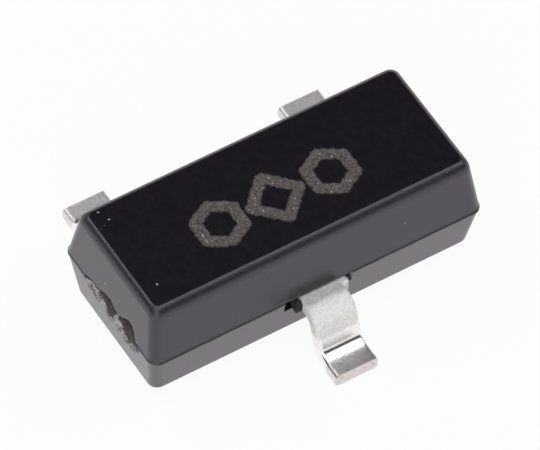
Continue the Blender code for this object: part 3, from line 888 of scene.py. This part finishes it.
def finish_piece(name, mesh, material, node):
    """Puts the mesh into the scene as a piece in metres, which may stand for a CAD node."""
    mesh.name = name
    mesh.transform(Matrix.Scale(MM, 4))
    mesh.materials.clear()
    mesh.materials.append(material)
    piece = new_object(name, mesh)
    if node:
        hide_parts(node)
    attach(piece, "root")
    print(name, len(mesh.polygons), "faces")


def shade(mesh, sharp_above):
    """Smooth shading, with a crease where two faces meet at more than so many degrees."""
    mesh.shade_smooth()
    mesh.set_sharp_from_angle(angle=math.radians(sharp_above))


# %% The moulding
# The block that makes room for the gate's chips, from one corner to the other
GATE_ROOM = ((-1.4535, -0.45, PARTING_HEIGHT - GATE_BELOW), (-1.37, 0.39, PARTING_HEIGHT + 0.15))
# Wear fades in and out between these tilts, given as 1 less the upward part of the normal
WEAR_FADES_IN, WEAR_FADES_OUT = (0.003, 0.03), (0.35, 0.75)
WORN_DEPTH = 0.1

hollow_solid = combine(cad_copy("mould_body"), block(*GATE_ROOM), "UNION")
body_mesh = combine(carved_skin, hollow_solid, "INTERSECT")
body_points = read_points(body_mesh)
tilted = 1 - point_normals(body_mesh)[:, 2]
rounded_edge = soft_step(tilted, *WEAR_FADES_IN) * (1 - soft_step(tilted, *WEAR_FADES_OUT))
rounded_edge *= body_points[:, 2] > TOP_HEIGHT - WORN_DEPTH
lasered = lasered_share(body_points)
torn_share = gate_share(body_points)
paint(body_mesh, lasered=lasered, torn=torn_share >= 0,
      crevice=crevice_share(body_points, torn_share),
      chip=fragments(body_points, FACET)[0] * (torn_share >= 0),
      worn=rounded_edge * (lasered == 0))
shade(body_mesh, sharp_above=32)
finish_piece("moulded_body", body_mesh, MOULDING, "mould_body")

# %% [markdown]
# Geometry Nodes sweep the formed end of each lead along its path, because all three are one strip
# bent the same way. The tree takes the path as a line of points, turns a filleted rectangle along
# it, and frosts the tin with noise that presses the surface in by up to three micrometres. Its
# sizes are named inputs. The bent line itself comes from the radii of the bends and their angle.

# %% Helpers for geometry trees
def geometry_tree(name, inputs):
    """A geometry tree with a mesh going in and out and these inputs (name: socket type)."""
    tree = bpy.data.node_groups.new(name, "GeometryNodeTree")
    tree.interface.new_socket(name="Geometry", in_out="INPUT", socket_type="NodeSocketGeometry")
    for label, kind in inputs.items():
        tree.interface.new_socket(name=label, in_out="INPUT", socket_type="NodeSocket" + kind)
    tree.interface.new_socket(name="Geometry", in_out="OUTPUT", socket_type="NodeSocketGeometry")
    return tree, tree.nodes.new("NodeGroupInput").outputs, tree.nodes.new("NodeGroupOutput").inputs


def end_tree(tree, geometry, material, end):
    """The tree's last two nodes, the same for every tree here."""
    real = add_node(tree, "GeometryNodeRealizeInstances", Geometry=geometry)
    painted = add_node(tree, "GeometryNodeSetMaterial", Geometry=real.outputs[0], Material=material)
    tree.links.new(painted.outputs[0], end["Geometry"])


def run_tree(tree, source, values):
    """The plain mesh that the tree makes of a source mesh with these input values."""
    carrier = new_object(tree.name, source)
    modifier = carrier.modifiers.new(tree.name, "NODES")
    modifier.node_group = tree
    for item in tree.interface.items_tree:
        if item.in_out == "INPUT" and item.name in values:
            modifier[item.identifier] = values[item.name]
    mesh = evaluated_mesh(carrier)
    carrier.modifiers.remove(modifier)
    bpy.data.objects.remove(carrier)
    return mesh


# %% The path of a formed lead
LEAD_WIDTH, LEAD_THICKNESS, LEAD_PITCH = 0.37, 0.12, 0.95
SHOULDER_LENGTH, RISER_ANGLE = 0.083, math.radians(72.0)
# Inner radii of the two bends. The second one opens to a wider heel over its last part
BEND_RADIUS, FOOT_RADIUS = 0.07, 0.065
HEEL_RADIUS, HEEL_ANGLE = 0.19, math.radians(33.0)
TIP_Y, STAMPED_EDGE = 1.19, 0.034
# The sweep starts inside the moulding and overlaps the CAD's own flat part there
SWEEP_START, JOINT_Y = 0.555, 0.575
STRIP_STEP = 0.0075
BEND_POINTS = 24


def second_bend(slope):
    """How far behind the foot and above it the strip's middle is, where it has this slope."""
    tight, wide = FOOT_RADIUS + LEAD_THICKNESS / 2, HEEL_RADIUS + LEAD_THICKNESS / 2
    heel = min(slope, HEEL_ANGLE)
    behind = wide * math.sin(heel) + tight * (math.sin(slope) - math.sin(heel))
    above = wide * (1 - math.cos(heel)) + tight * (math.cos(heel) - math.cos(slope))
    return behind, above


def lead_path():
    """(y, z) along the middle of the strip: shoulder, first bend, riser, second bend, foot."""
    middle, high = LEAD_THICKNESS / 2, PARTING_HEIGHT - LEAD_THICKNESS / 2
    shoulder, first = half_width + SHOULDER_LENGTH, BEND_RADIUS + LEAD_THICKNESS / 2
    behind, above = second_bend(RISER_ANGLE)
    riser_drop = high - middle - above - first * (1 - math.cos(RISER_ANGLE))
    foot = shoulder + first * math.sin(RISER_ANGLE) + riser_drop / math.tan(RISER_ANGLE) + behind
    slopes = [RISER_ANGLE * step / BEND_POINTS for step in range(BEND_POINTS + 1)]
    path = [(SWEEP_START, high)]
    path += [(shoulder + first * math.sin(t), high - first * (1 - math.cos(t))) for t in slopes]
    path += [(foot - behind, middle + above)
             for behind, above in map(second_bend, reversed(slopes))]
    return path + [(TIP_Y, middle)]


path_points = [(0, y, z) for y, z in lead_path()]
path_steps = [(i, i + 1) for i in range(len(path_points) - 1)]
path_mesh = mesh_from("lead_path", path_points, edges=path_steps)
print("foot starts at y", round(path_points[-2][1], 3), "mm")


# %% The tree that sweeps the strip
FROST_DEPTH, FROST_CELL = 0.003, 0.030
# The tool rubbed the tin up to this height, and left only this share of the frost's depth there
RUBBED_HEIGHT, RUB_BLUR, FROST_LEFT = 0.27, 0.02, 0.15


def resampled(tree, curve, start):
    """A curve node's result, cut into even steps."""
    return add_node(tree, "GeometryNodeResampleCurve", {"mode": "LENGTH"}, Curve=curve.outputs[0],
                    Length=start["Step"])


def build_strip_tree():
    tree, start, end = geometry_tree("formed_strip", {
        "Width": "Float", "Thickness": "Float", "Edge Radius": "Float", "Step": "Float",
        "Frost Depth": "Float", "Frost Cell": "Float", "Rubbed Height": "Float", "Seed": "Float",
        "Material": "Material"})
    line = add_node(tree, "GeometryNodeMeshToCurve", Mesh=start["Geometry"])
    line = resampled(tree, line, start)
    line = add_node(tree, "GeometryNodeSetCurveNormal", {"mode": "Z_UP"}, Curve=line.outputs[0])
    section = add_node(tree, "GeometryNodeCurvePrimitiveQuadrilateral", Width=start["Width"],
                       Height=start["Thickness"])
    section = add_node(tree, "GeometryNodeFilletCurve", {"mode": "POLY"}, Curve=section.outputs[0],
                       Count=4, Radius=start["Edge Radius"], Limit_Radius=True)
    section = resampled(tree, section, start)
    strip = add_node(tree, "GeometryNodeCurveToMesh", Curve=line.outputs[0],
                     Profile_Curve=section.outputs[0])
    place = add_node(tree, "GeometryNodeInputPosition").outputs[0]
    cells = math_node(tree, "DIVIDE", 1.0, start["Frost Cell"])
    frost = add_node(tree, "ShaderNodeTexNoise", {"noise_dimensions": "4D"}, Vector=place,
                     Scale=cells, Detail=3.0, W=start["Seed"]).outputs["Fac"]
    height = add_node(tree, "ShaderNodeSeparateXYZ", Vector=place).outputs["Z"]
    above = math_node(tree, "SUBTRACT", height, start["Rubbed Height"])
    matt = math_node(tree, "MULTIPLY_ADD", ramp_node(tree, above, -RUB_BLUR, RUB_BLUR),
                     1 - FROST_LEFT, FROST_LEFT)
    depth = times(tree, times(tree, frost, matt), start["Frost Depth"])
    normal = add_node(tree, "GeometryNodeInputNormal").outputs["Normal"]
    pressed = add_node(tree, "GeometryNodeSetPosition", Geometry=strip.outputs[0],
                       Offset=scaled(tree, normal, times(tree, depth, -1.0)))
    end_tree(tree, pressed.outputs[0], start["Material"], end)
    return tree


STRIP_TREE = build_strip_tree()


def swept_strip(seed):
    return run_tree(STRIP_TREE, path_mesh, {
        "Width": LEAD_WIDTH, "Thickness": LEAD_THICKNESS, "Edge Radius": STAMPED_EDGE,
        "Step": STRIP_STEP, "Frost Depth": FROST_DEPTH, "Frost Cell": FROST_CELL,
        "Rubbed Height": RUBBED_HEIGHT, "Seed": seed, "Material": TINNED_COPPER})


# %% [markdown]
# A sweep leaves its ends open. The tip is a sheared face: the die cut the strip there after it had
# been tinned, so it shows copper with fine lines down it and a torn lower half. It is closed with
# rings that shrink inwards to one narrow face, which gives it enough points for that. The end
# inside the moulding is closed flat, because the CAD's own flat part of the lead is joined on
# there.

# %% Closing the ends of a strip
CAP_RING = 0.01
CAP_RINGS = round(LEAD_THICKNESS / 2 / CAP_RING) - 1
# How deep the sheared face is scored, by lines of this width and length
SHEAR_RELIEF, SHEAR_LINE, SHEAR_CELL = 0.006, 0.012, 0.05


def close_ends(mesh):
    """The swept strip as a closed solid, with its tip sheared."""
    points = read_points(mesh)
    around = int((abs(points[:, 1] - SWEEP_START) < WELD_DISTANCE).sum())
    faces = [tuple(polygon.vertices) for polygon in mesh.polygons]
    faces.append(tuple(range(around)))
    tip = points[-around:]
    middle = np.array([0, TIP_Y, LEAD_THICKNESS / 2])
    reach = np.array([LEAD_WIDTH / 2, 0, LEAD_THICKNESS / 2])
    rings, first = [points], len(points) - around
    for step in range(1, CAP_RINGS + 1):
        limit = np.maximum(reach - step * CAP_RING, 0)
        rings.append(middle + np.clip(tip - middle, -limit, limit))
        faces += ring_faces(first, around)
        first += around
    faces.append(tuple(range(first, first + around)))
    points = np.concatenate(rings)
    sheared = np.flatnonzero(points[:, 1] > TIP_Y - WELD_DISTANCE)
    lines = wander(points[sheared] / (SHEAR_LINE, 1, SHEAR_CELL), 1.0, 2.0)
    torn = soft_step(LEAD_THICKNESS / 2 - points[sheared, 2], -0.02, 0.02)
    points[sheared, 1] -= SHEAR_RELIEF * (0.4 + 0.3 * lines) * (0.5 + torn)
    return edited(weld(mesh_from("strip", points, faces=faces)),
                  lambda shape: bmesh.ops.recalc_face_normals(shape, faces=shape.faces))


# %% The stubs of the tie bar
# How far a stub stands out of the lead's side, and between which distances along the lead
STUB_REACH, STUB_LOW, STUB_HIGH = 0.05, 0.59, 0.69
# How deep it is rooted in the lead, how much thinner it is on each side, and how round it is
STUB_ROOT, STUB_TRIM, STUB_ROUND = 0.03, 0.003, 0.010
STUB_CUTS, STUB_RELIEF, STUB_CELL = 9, 0.010, 0.03


def stub_mesh(side, seed):
    """What is left of the tie bar on one side of a lead: a short block with a torn end."""
    root, end = LEAD_WIDTH / 2 - STUB_ROOT, LEAD_WIDTH / 2 + STUB_REACH
    low = np.array([root, STUB_LOW, PARTING_HEIGHT - LEAD_THICKNESS + STUB_TRIM])
    high = np.array([end, STUB_HIGH, PARTING_HEIGHT - STUB_TRIM])
    mesh = edited(block(low, high), lambda shape: bmesh.ops.subdivide_edges(
        shape, edges=shape.edges[:], cuts=STUB_CUTS, use_grid_fill=True))
    points = read_points(mesh)
    core = np.clip(points, low + STUB_ROUND, high - STUB_ROUND)
    out = points - core
    points = core + out * STUB_ROUND / np.linalg.norm(out, axis=1, keepdims=True)
    torn = soft_step(points[:, 0], end - STUB_ROUND, end)
    points[:, 0] -= torn * STUB_RELIEF * (0.6 + 0.6 * wander(points, STUB_CELL, seed))
    write_points(mesh, points * (side, 1, 1))
    if side < 0:
        mesh.flip_normals()
    return mesh


# %% Assembling the leads
# A cut look begins this far before the tip and before the end of a stub, and on the tip only
# where the surface looks so much along the lead
TIP_CUT, STUB_CUT, TIP_FACING, STUB_MARGIN = (0.016, 0.010), (0.022, 0.014), (0.55, 0.75), 0.01
# The rubbing ends so softly, in a line that strays so far in cells of this size, and the
# near-black paint on a stub ends in a line that strays less
RUBBED_START, RUBBED_END, RUB_SOFT = 0.70, 1.050, 0.012
RUB_STRAYS, RUB_CELL = 0.012, 0.05
DARK_STUB_STRAYS, DARK_STUB_CELL = 0.006, 0.03
# The shares of frost before the first bend, on the riser, and left by the tool on the second bend
FROST_BEFORE, FROST_RISER, FROST_RUBBED = 0.35, 0.5, 0.25
# piece, CAD node, x of its middle, half turn, near-black paint on one of its stubs, frost on its
# foot as painted light, seed
# The back feet get a little frost as painted light, which makes them lighter than the front foot,
# which lies in the body's shade
LEADS = [
    ("collector_gull_wing", "collector_lead", 0.0, True, 1.0, 0.0, 1.0),
    ("base_gull_wing", "base_lead", LEAD_PITCH, False, 0.0, 0.2, 2.0),
    ("emitter_gull_wing", "emitter_lead", -LEAD_PITCH, False, 0.0, 0.2, 3.0),
]


def inner_part(node, place):
    """The CAD lead's own flat part, cut off square inside the moulding."""
    def cut_off(shape):
        whole = shape.verts[:] + shape.edges[:] + shape.faces[:]
        cut = bmesh.ops.bisect_plane(
            shape, geom=whole, plane_co=(0, JOINT_Y, 0), plane_no=(0, 1, 0), clear_outer=True)
        rim = [item for item in cut["geom_cut"] if isinstance(item, bmesh.types.BMEdge)]
        bmesh.ops.contextual_create(shape, geom=rim)
    mesh = cad_copy(node)
    mesh.transform(place.inverted())
    return edited(mesh, cut_off)


def beside_stubs(points, margin=0.0):
    """Which points lie along the lead where its stubs are."""
    return (points[:, 1] > STUB_LOW - margin) & (points[:, 1] < STUB_HIGH + margin)


def cut_share(points, normals):
    """1 on the sheared tip and on the torn ends of the stubs, seen in the lead's own place."""
    stub_end = LEAD_WIDTH / 2 + STUB_REACH
    tip = soft_step(points[:, 1], TIP_Y - TIP_CUT[0], TIP_Y - TIP_CUT[1])
    tip *= soft_step(normals[:, 1], *TIP_FACING)
    stub = soft_step(abs(points[:, 0]), stub_end - STUB_CUT[0], stub_end - STUB_CUT[1])
    return np.maximum(tip, stub * beside_stubs(points, STUB_MARGIN))


def rubbed_share(points):
    """1 where the forming tool rubbed the tin bright: round the second bend."""
    waver = RUB_STRAYS * wander(points, RUB_CELL, 5.0)
    y, z = points[:, 1] + waver, points[:, 2] + waver
    below = 1 - soft_step(z, RUBBED_HEIGHT - RUB_SOFT, RUBBED_HEIGHT + RUB_SOFT)
    before = 1 - soft_step(y, RUBBED_END - RUB_SOFT, RUBBED_END + RUB_SOFT)
    return below * before * (points[:, 1] > RUBBED_START)


def frost_share(points, on_foot):
    """1 where the first bend stretched the tin to a white frost, and less before and after it."""
    z = points[:, 2]
    bent = FROST_BEFORE + (1 - FROST_BEFORE) * soft_step(PARTING_HEIGHT - z, 0.000, 0.012)
    high = FROST_RISER + (1 - FROST_RISER) * soft_step(z, 0.34, 0.42)
    rubbed = rubbed_share(points)
    left = FROST_RUBBED * rubbed * soft_step(z, 0.16, 0.18)
    # On a foot the share is the lead's painted light: a little frost on the back feet, none in
    # front
    return np.where(z < LEAD_THICKNESS + 0.005, on_foot, bent * high * (1 - rubbed) + left)


def dark_stub_share(points):
    """1 on one stub, which is painted near black."""
    ragged = points[:, 0] + DARK_STUB_STRAYS * wander(points, DARK_STUB_CELL, 7.0)
    edge = LEAD_WIDTH / 2
    return soft_step(ragged, edge - 0.014, edge - 0.002) * beside_stubs(points, STUB_MARGIN)


for name, node, x, turned, resin, foot_painted_light, seed in LEADS:
    place = Matrix.Translation((x, 0, 0)) @ Matrix.Rotation(math.pi if turned else 0, 4, "Z")
    lead_mesh = combine(close_ends(swept_strip(seed)), inner_part(node, place), "UNION")
    for side in (-1, 1):
        lead_mesh = combine(lead_mesh, stub_mesh(side, 10 * seed + side), "UNION")
    lead_points = read_points(lead_mesh)
    paint(lead_mesh, cut=cut_share(lead_points, point_normals(lead_mesh)),
          resin=resin * dark_stub_share(lead_points), rubbed=rubbed_share(lead_points),
          frost=frost_share(lead_points, foot_painted_light))
    stub_tips = np.ptp(lead_points[beside_stubs(lead_points), 0])
    print(name, "is", round(stub_tips, 3), "mm wide across its stubs")
    shade(lead_mesh, sharp_above=40)
    lead_mesh.transform(place)
    finish_piece(name, lead_mesh, TINNED_COPPER, node)

# %% [markdown]
# The laser throws up a crust of tiny fused grains along each stroke, and it is they that sparkle;
# a few pale patches on them are a painted highlight.
# A tree lays a grain every few micrometres along the strokes, at a random place across them, a
# random size and a random turn. Each grain has only twenty faces, for there are over a thousand.

# %% Grit along the strokes
# Spacing along the stroke, and the radius of the largest grain with the shares of it that occur
GRIT_SPACING, GRIT_SIZE, GRIT_SHARES, GRIT_SEED = 0.0030, 0.0075, (0.35, 1.0), 7
# The grains lie up to this share of the stroke's width to each side of its middle
GRIT_SPREAD = 0.46
GRIT_DARK, GRIT_LIGHT = (0.042, 0.035, 0.028, 1), (0.215, 0.188, 0.150, 1)
# A few grains are painted pale, as a painted highlight
GRIT_PAINTED_GLINT, GRIT_ROUGHNESS = (0.72, 0.72, 0.74, 1), (0.25, 0.65)


def random_value(tree, kind, low, high, seed):
    """A Random Value node's result between two values."""
    return enabled_output(add_node(
        tree, "FunctionNodeRandomValue", {"data_type": kind}, Min=low, Max=high, Seed=seed))


def any_turn(tree, seed):
    return random_value(tree, "FLOAT_VECTOR", (0, 0, 0), (2 * math.pi,) * 3, seed)


def build_grit_tree():
    tree, start, end = geometry_tree("laser_grit", {
        "Spacing": "Float", "Grain Size": "Float", "Stroke": "Float", "Seed": "Int",
        "Material": "Material"})
    line = add_node(tree, "GeometryNodeMeshToCurve", Mesh=start["Geometry"])
    spots = add_node(tree, "GeometryNodeCurveToPoints", {"mode": "LENGTH"}, Curve=line.outputs[0],
                     Length=start["Spacing"])
    half = times(tree, start["Stroke"], GRIT_SPREAD)
    across = add_node(tree, "ShaderNodeCombineXYZ", X=half, Y=half).outputs[0]
    drift = random_value(tree, "FLOAT_VECTOR", scaled(tree, across, -1.0), across, start["Seed"])
    spots = add_node(tree, "GeometryNodeSetPosition", Geometry=spots.outputs[0], Offset=drift)
    crumb = add_node(
        tree, "GeometryNodeMeshIcoSphere", Radius=start["Grain Size"], Subdivisions=1)
    grit = add_node(tree, "GeometryNodeInstanceOnPoints", Points=spots.outputs[0],
                    Instance=crumb.outputs["Mesh"], Rotation=any_turn(tree, start["Seed"]),
                    Scale=random_value(tree, "FLOAT", *GRIT_SHARES, start["Seed"]))
    end_tree(tree, grit.outputs[0], start["Material"], end)
    return tree


def grit_material():
    material, tree, shader = new_finish("fused_grit", (0.16, 0.14, 0.12), 0.42)
    charred = patches(tree, 14, 1.0, 3.0, (0.35, 0.65))
    # Pale patches on a few grains: a painted highlight
    painted_glint = patches(tree, 26, 1.0, 5.0, (0.62, 0.68))
    colour = mix_colours(tree, painted_glint, mix_colours(tree, charred, GRIT_DARK, GRIT_LIGHT), GRIT_PAINTED_GLINT)
    set_inputs(tree, shader, Base_Color=colour,
               Roughness=patches(tree, 7, 1.0, 8.0, between=GRIT_ROUGHNESS))
    return material


strokes = [at_height(outline, TOP_Z - MARK_DEPTH) for outline in MARKS]
starts = np.cumsum([0] + [len(stroke) for stroke in strokes])
stroke_edges = [(i, i + 1) for first, last in zip(starts, starts[1:])
                for i in range(first, last - 1)]
stroke_mesh = mesh_from("strokes", np.concatenate(strokes), edges=stroke_edges)
GRIT = grit_material()
grit_mesh = run_tree(build_grit_tree(), stroke_mesh, {
    "Spacing": GRIT_SPACING, "Grain Size": GRIT_SIZE, "Stroke": MARK_STROKE, "Seed": GRIT_SEED,
    "Material": GRIT})
finish_piece("laser_grit", grit_mesh, GRIT, None)

# %% [markdown]
# The silica filler shows through the skin in a few places as pale specks. A second tree scatters
# them over the moulding's own surface, and puts a few larger ones where the part in the picture
# has them. They are sunk into the skin, so that only a flat cap of each one shows.

# %% Filler specks
# Radius of a small speck with the shares of it that occur, specks to the square millimetre, and
# how deep the middle of each one lies
SPECK_SIZE, SPECK_SHARES, SPECK_DENSITY, SPECK_SUNK = 0.0045, (0.9, 1.3), 3.0, 0.004
SPECK_SEED = 11
# Places of the larger ones: three on the top and one on the end face, with their middles under it
LARGE_SPECK, LARGE_SUNK = 0.018, 0.0158
LARGE_SPECKS = [
    (-1.244, 0.472, TOP_Z - LARGE_SUNK), (-1.207, 0.375, TOP_Z - LARGE_SUNK),
    (-1.209, -0.316, TOP_Z - LARGE_SUNK), (-1.417 + LARGE_SUNK, 0.08, 0.663),
]
SILICA_DARK, SILICA_LIGHT = (0.22, 0.21, 0.20, 1), (0.5, 0.48, 0.45, 1)


def build_speck_tree():
    tree, start, end = geometry_tree("filler_specks", {
        "Speck Size": "Float", "Sunk": "Float", "Density": "Float", "Seed": "Int",
        "Large Places": "Object", "Large Size": "Float", "Material": "Material"})
    spread = add_node(tree, "GeometryNodeDistributePointsOnFaces", Mesh=start["Geometry"],
                      Density=start["Density"], Seed=start["Seed"])
    inward = scaled(tree, spread.outputs["Normal"], times(tree, start["Sunk"], -1.0))
    sunk = add_node(tree, "GeometryNodeSetPosition", Geometry=spread.outputs["Points"],
                    Offset=inward)
    speck = add_node(tree, "GeometryNodeMeshIcoSphere", Radius=start["Speck Size"], Subdivisions=1)
    small = add_node(tree, "GeometryNodeInstanceOnPoints", Points=sunk.outputs[0],
                     Instance=speck.outputs["Mesh"], Rotation=any_turn(tree, start["Seed"]),
                     Scale=random_value(tree, "FLOAT", *SPECK_SHARES, start["Seed"]))
    chosen = add_node(tree, "GeometryNodeObjectInfo", Object=start["Large Places"])
    chosen = add_node(tree, "GeometryNodeMeshToPoints", Mesh=chosen.outputs["Geometry"])
    pebble = add_node(tree, "GeometryNodeMeshIcoSphere", Radius=start["Large Size"], Subdivisions=3)
    large = add_node(tree, "GeometryNodeInstanceOnPoints", Points=chosen.outputs[0],
                     Instance=pebble.outputs["Mesh"])
    both = add_node(tree, "GeometryNodeJoinGeometry")
    for each in (small, large):
        tree.links.new(each.outputs[0], both.inputs[0])
    end_tree(tree, both.outputs[0], start["Material"], end)
    return tree


def speck_material():
    material, tree, shader = new_finish("silica_filler", (0.35, 0.34, 0.32), 0.3)
    set_inputs(tree, shader, Base_Color=mix_colours(
        tree, grain(tree, 14, 1.0, 2.0), SILICA_DARK, SILICA_LIGHT))
    return material


skin_source = body_mesh.copy()
skin_source.transform(TO_MILLIMETRES)
place_object = new_object("speck_places", mesh_from("speck_places", LARGE_SPECKS))
SILICA = speck_material()
speck_mesh = run_tree(build_speck_tree(), skin_source, {
    "Speck Size": SPECK_SIZE, "Sunk": SPECK_SUNK, "Density": SPECK_DENSITY,
    "Seed": SPECK_SEED, "Large Places": place_object, "Large Size": LARGE_SPECK,
    "Material": SILICA})
bpy.data.objects.remove(place_object)
finish_piece("filler_specks", speck_mesh, SILICA, None)

# %% [markdown]
# Inside, out of sight, are the pieces that do the work: a silicon die on a layer of silver-filled
# adhesive, two aluminium bond pads and two gold wires. Their CAD shapes are right, so they keep
# them and only get a finish: etched tracks on the die, flakes in the adhesive, and a fine grain on
# the aluminium and the gold.

# %% Finishes of the inner pieces
TRACKS_TO_THE_METRE, SILICON_ROUGHNESS = 22000.0, (0.10, 0.26)
TRACK_DARK, TRACK_LIGHT = (0.05, 0.06, 0.10, 1), (0.30, 0.31, 0.36, 1)


def silicon_material():
    material, tree, shader = new_finish("silicon", (0.09, 0.09, 0.12), 0.15, 0.5)
    place = add_node(tree, "ShaderNodeTexCoord").outputs["Object"]
    tracks = add_node(tree, "ShaderNodeTexWave", {"bands_direction": "X"}, Vector=place,
                      Scale=TRACKS_TO_THE_METRE, Distortion=0.0)
    share = ramp_node(tree, tracks.outputs["Fac"], 0.45, 0.55)
    set_inputs(tree, shader, Base_Color=mix_colours(tree, share, TRACK_DARK, TRACK_LIGHT),
               Roughness=patches(tree, 8, 2.0, 0.0, between=SILICON_ROUGHNESS))
    add_bump(tree, shader, share, 0.4)
    return material


def grainy_metal(name, dark, light, cell, smoothest, roughest, relief):
    """A metal whose colour, polish and surface all follow one grain."""
    material, tree, shader = new_finish(name, light, roughest, 1.0)
    value = grain(tree, cell, 3.0, 1.0)
    colour = mix_colours(tree, ramp_node(tree, value, 0.3, 0.7), (*dark, 1), (*light, 1))
    set_inputs(tree, shader, Base_Color=colour,
               Roughness=ramp_node(tree, value, 0.3, 0.7, smoothest, roughest))
    add_bump(tree, shader, grain(tree, cell / 3, 3.0, 5.0), relief)
    return material


# name, dark and light colour, cell in micrometres, least and most roughness, relief
METALS = [
    ("silver_adhesive", (0.30, 0.29, 0.27), (0.62, 0.61, 0.58), 12, 0.40, 0.65, 1.0),
    ("aluminium", (0.66, 0.66, 0.67), (0.83, 0.83, 0.84), 9, 0.25, 0.42, 0.4),
    ("gold", (0.82, 0.52, 0.17), (1.0, 0.76, 0.36), 7, 0.16, 0.30, 0.3),
]
silicon = silicon_material()
adhesive, aluminium, gold = [grainy_metal(*row) for row in METALS]
INNER_FINISHES = {
    "transistor_die": silicon, "die_attach": adhesive, "base_pad": aluminium, "base_wire": gold,
    "emitter_pad": aluminium, "emitter_wire": gold,
}
for node, finish in INNER_FINISHES.items():
    for material_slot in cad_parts[node].material_slots:
        material_slot.material = finish
    print(node, "in", finish.name)
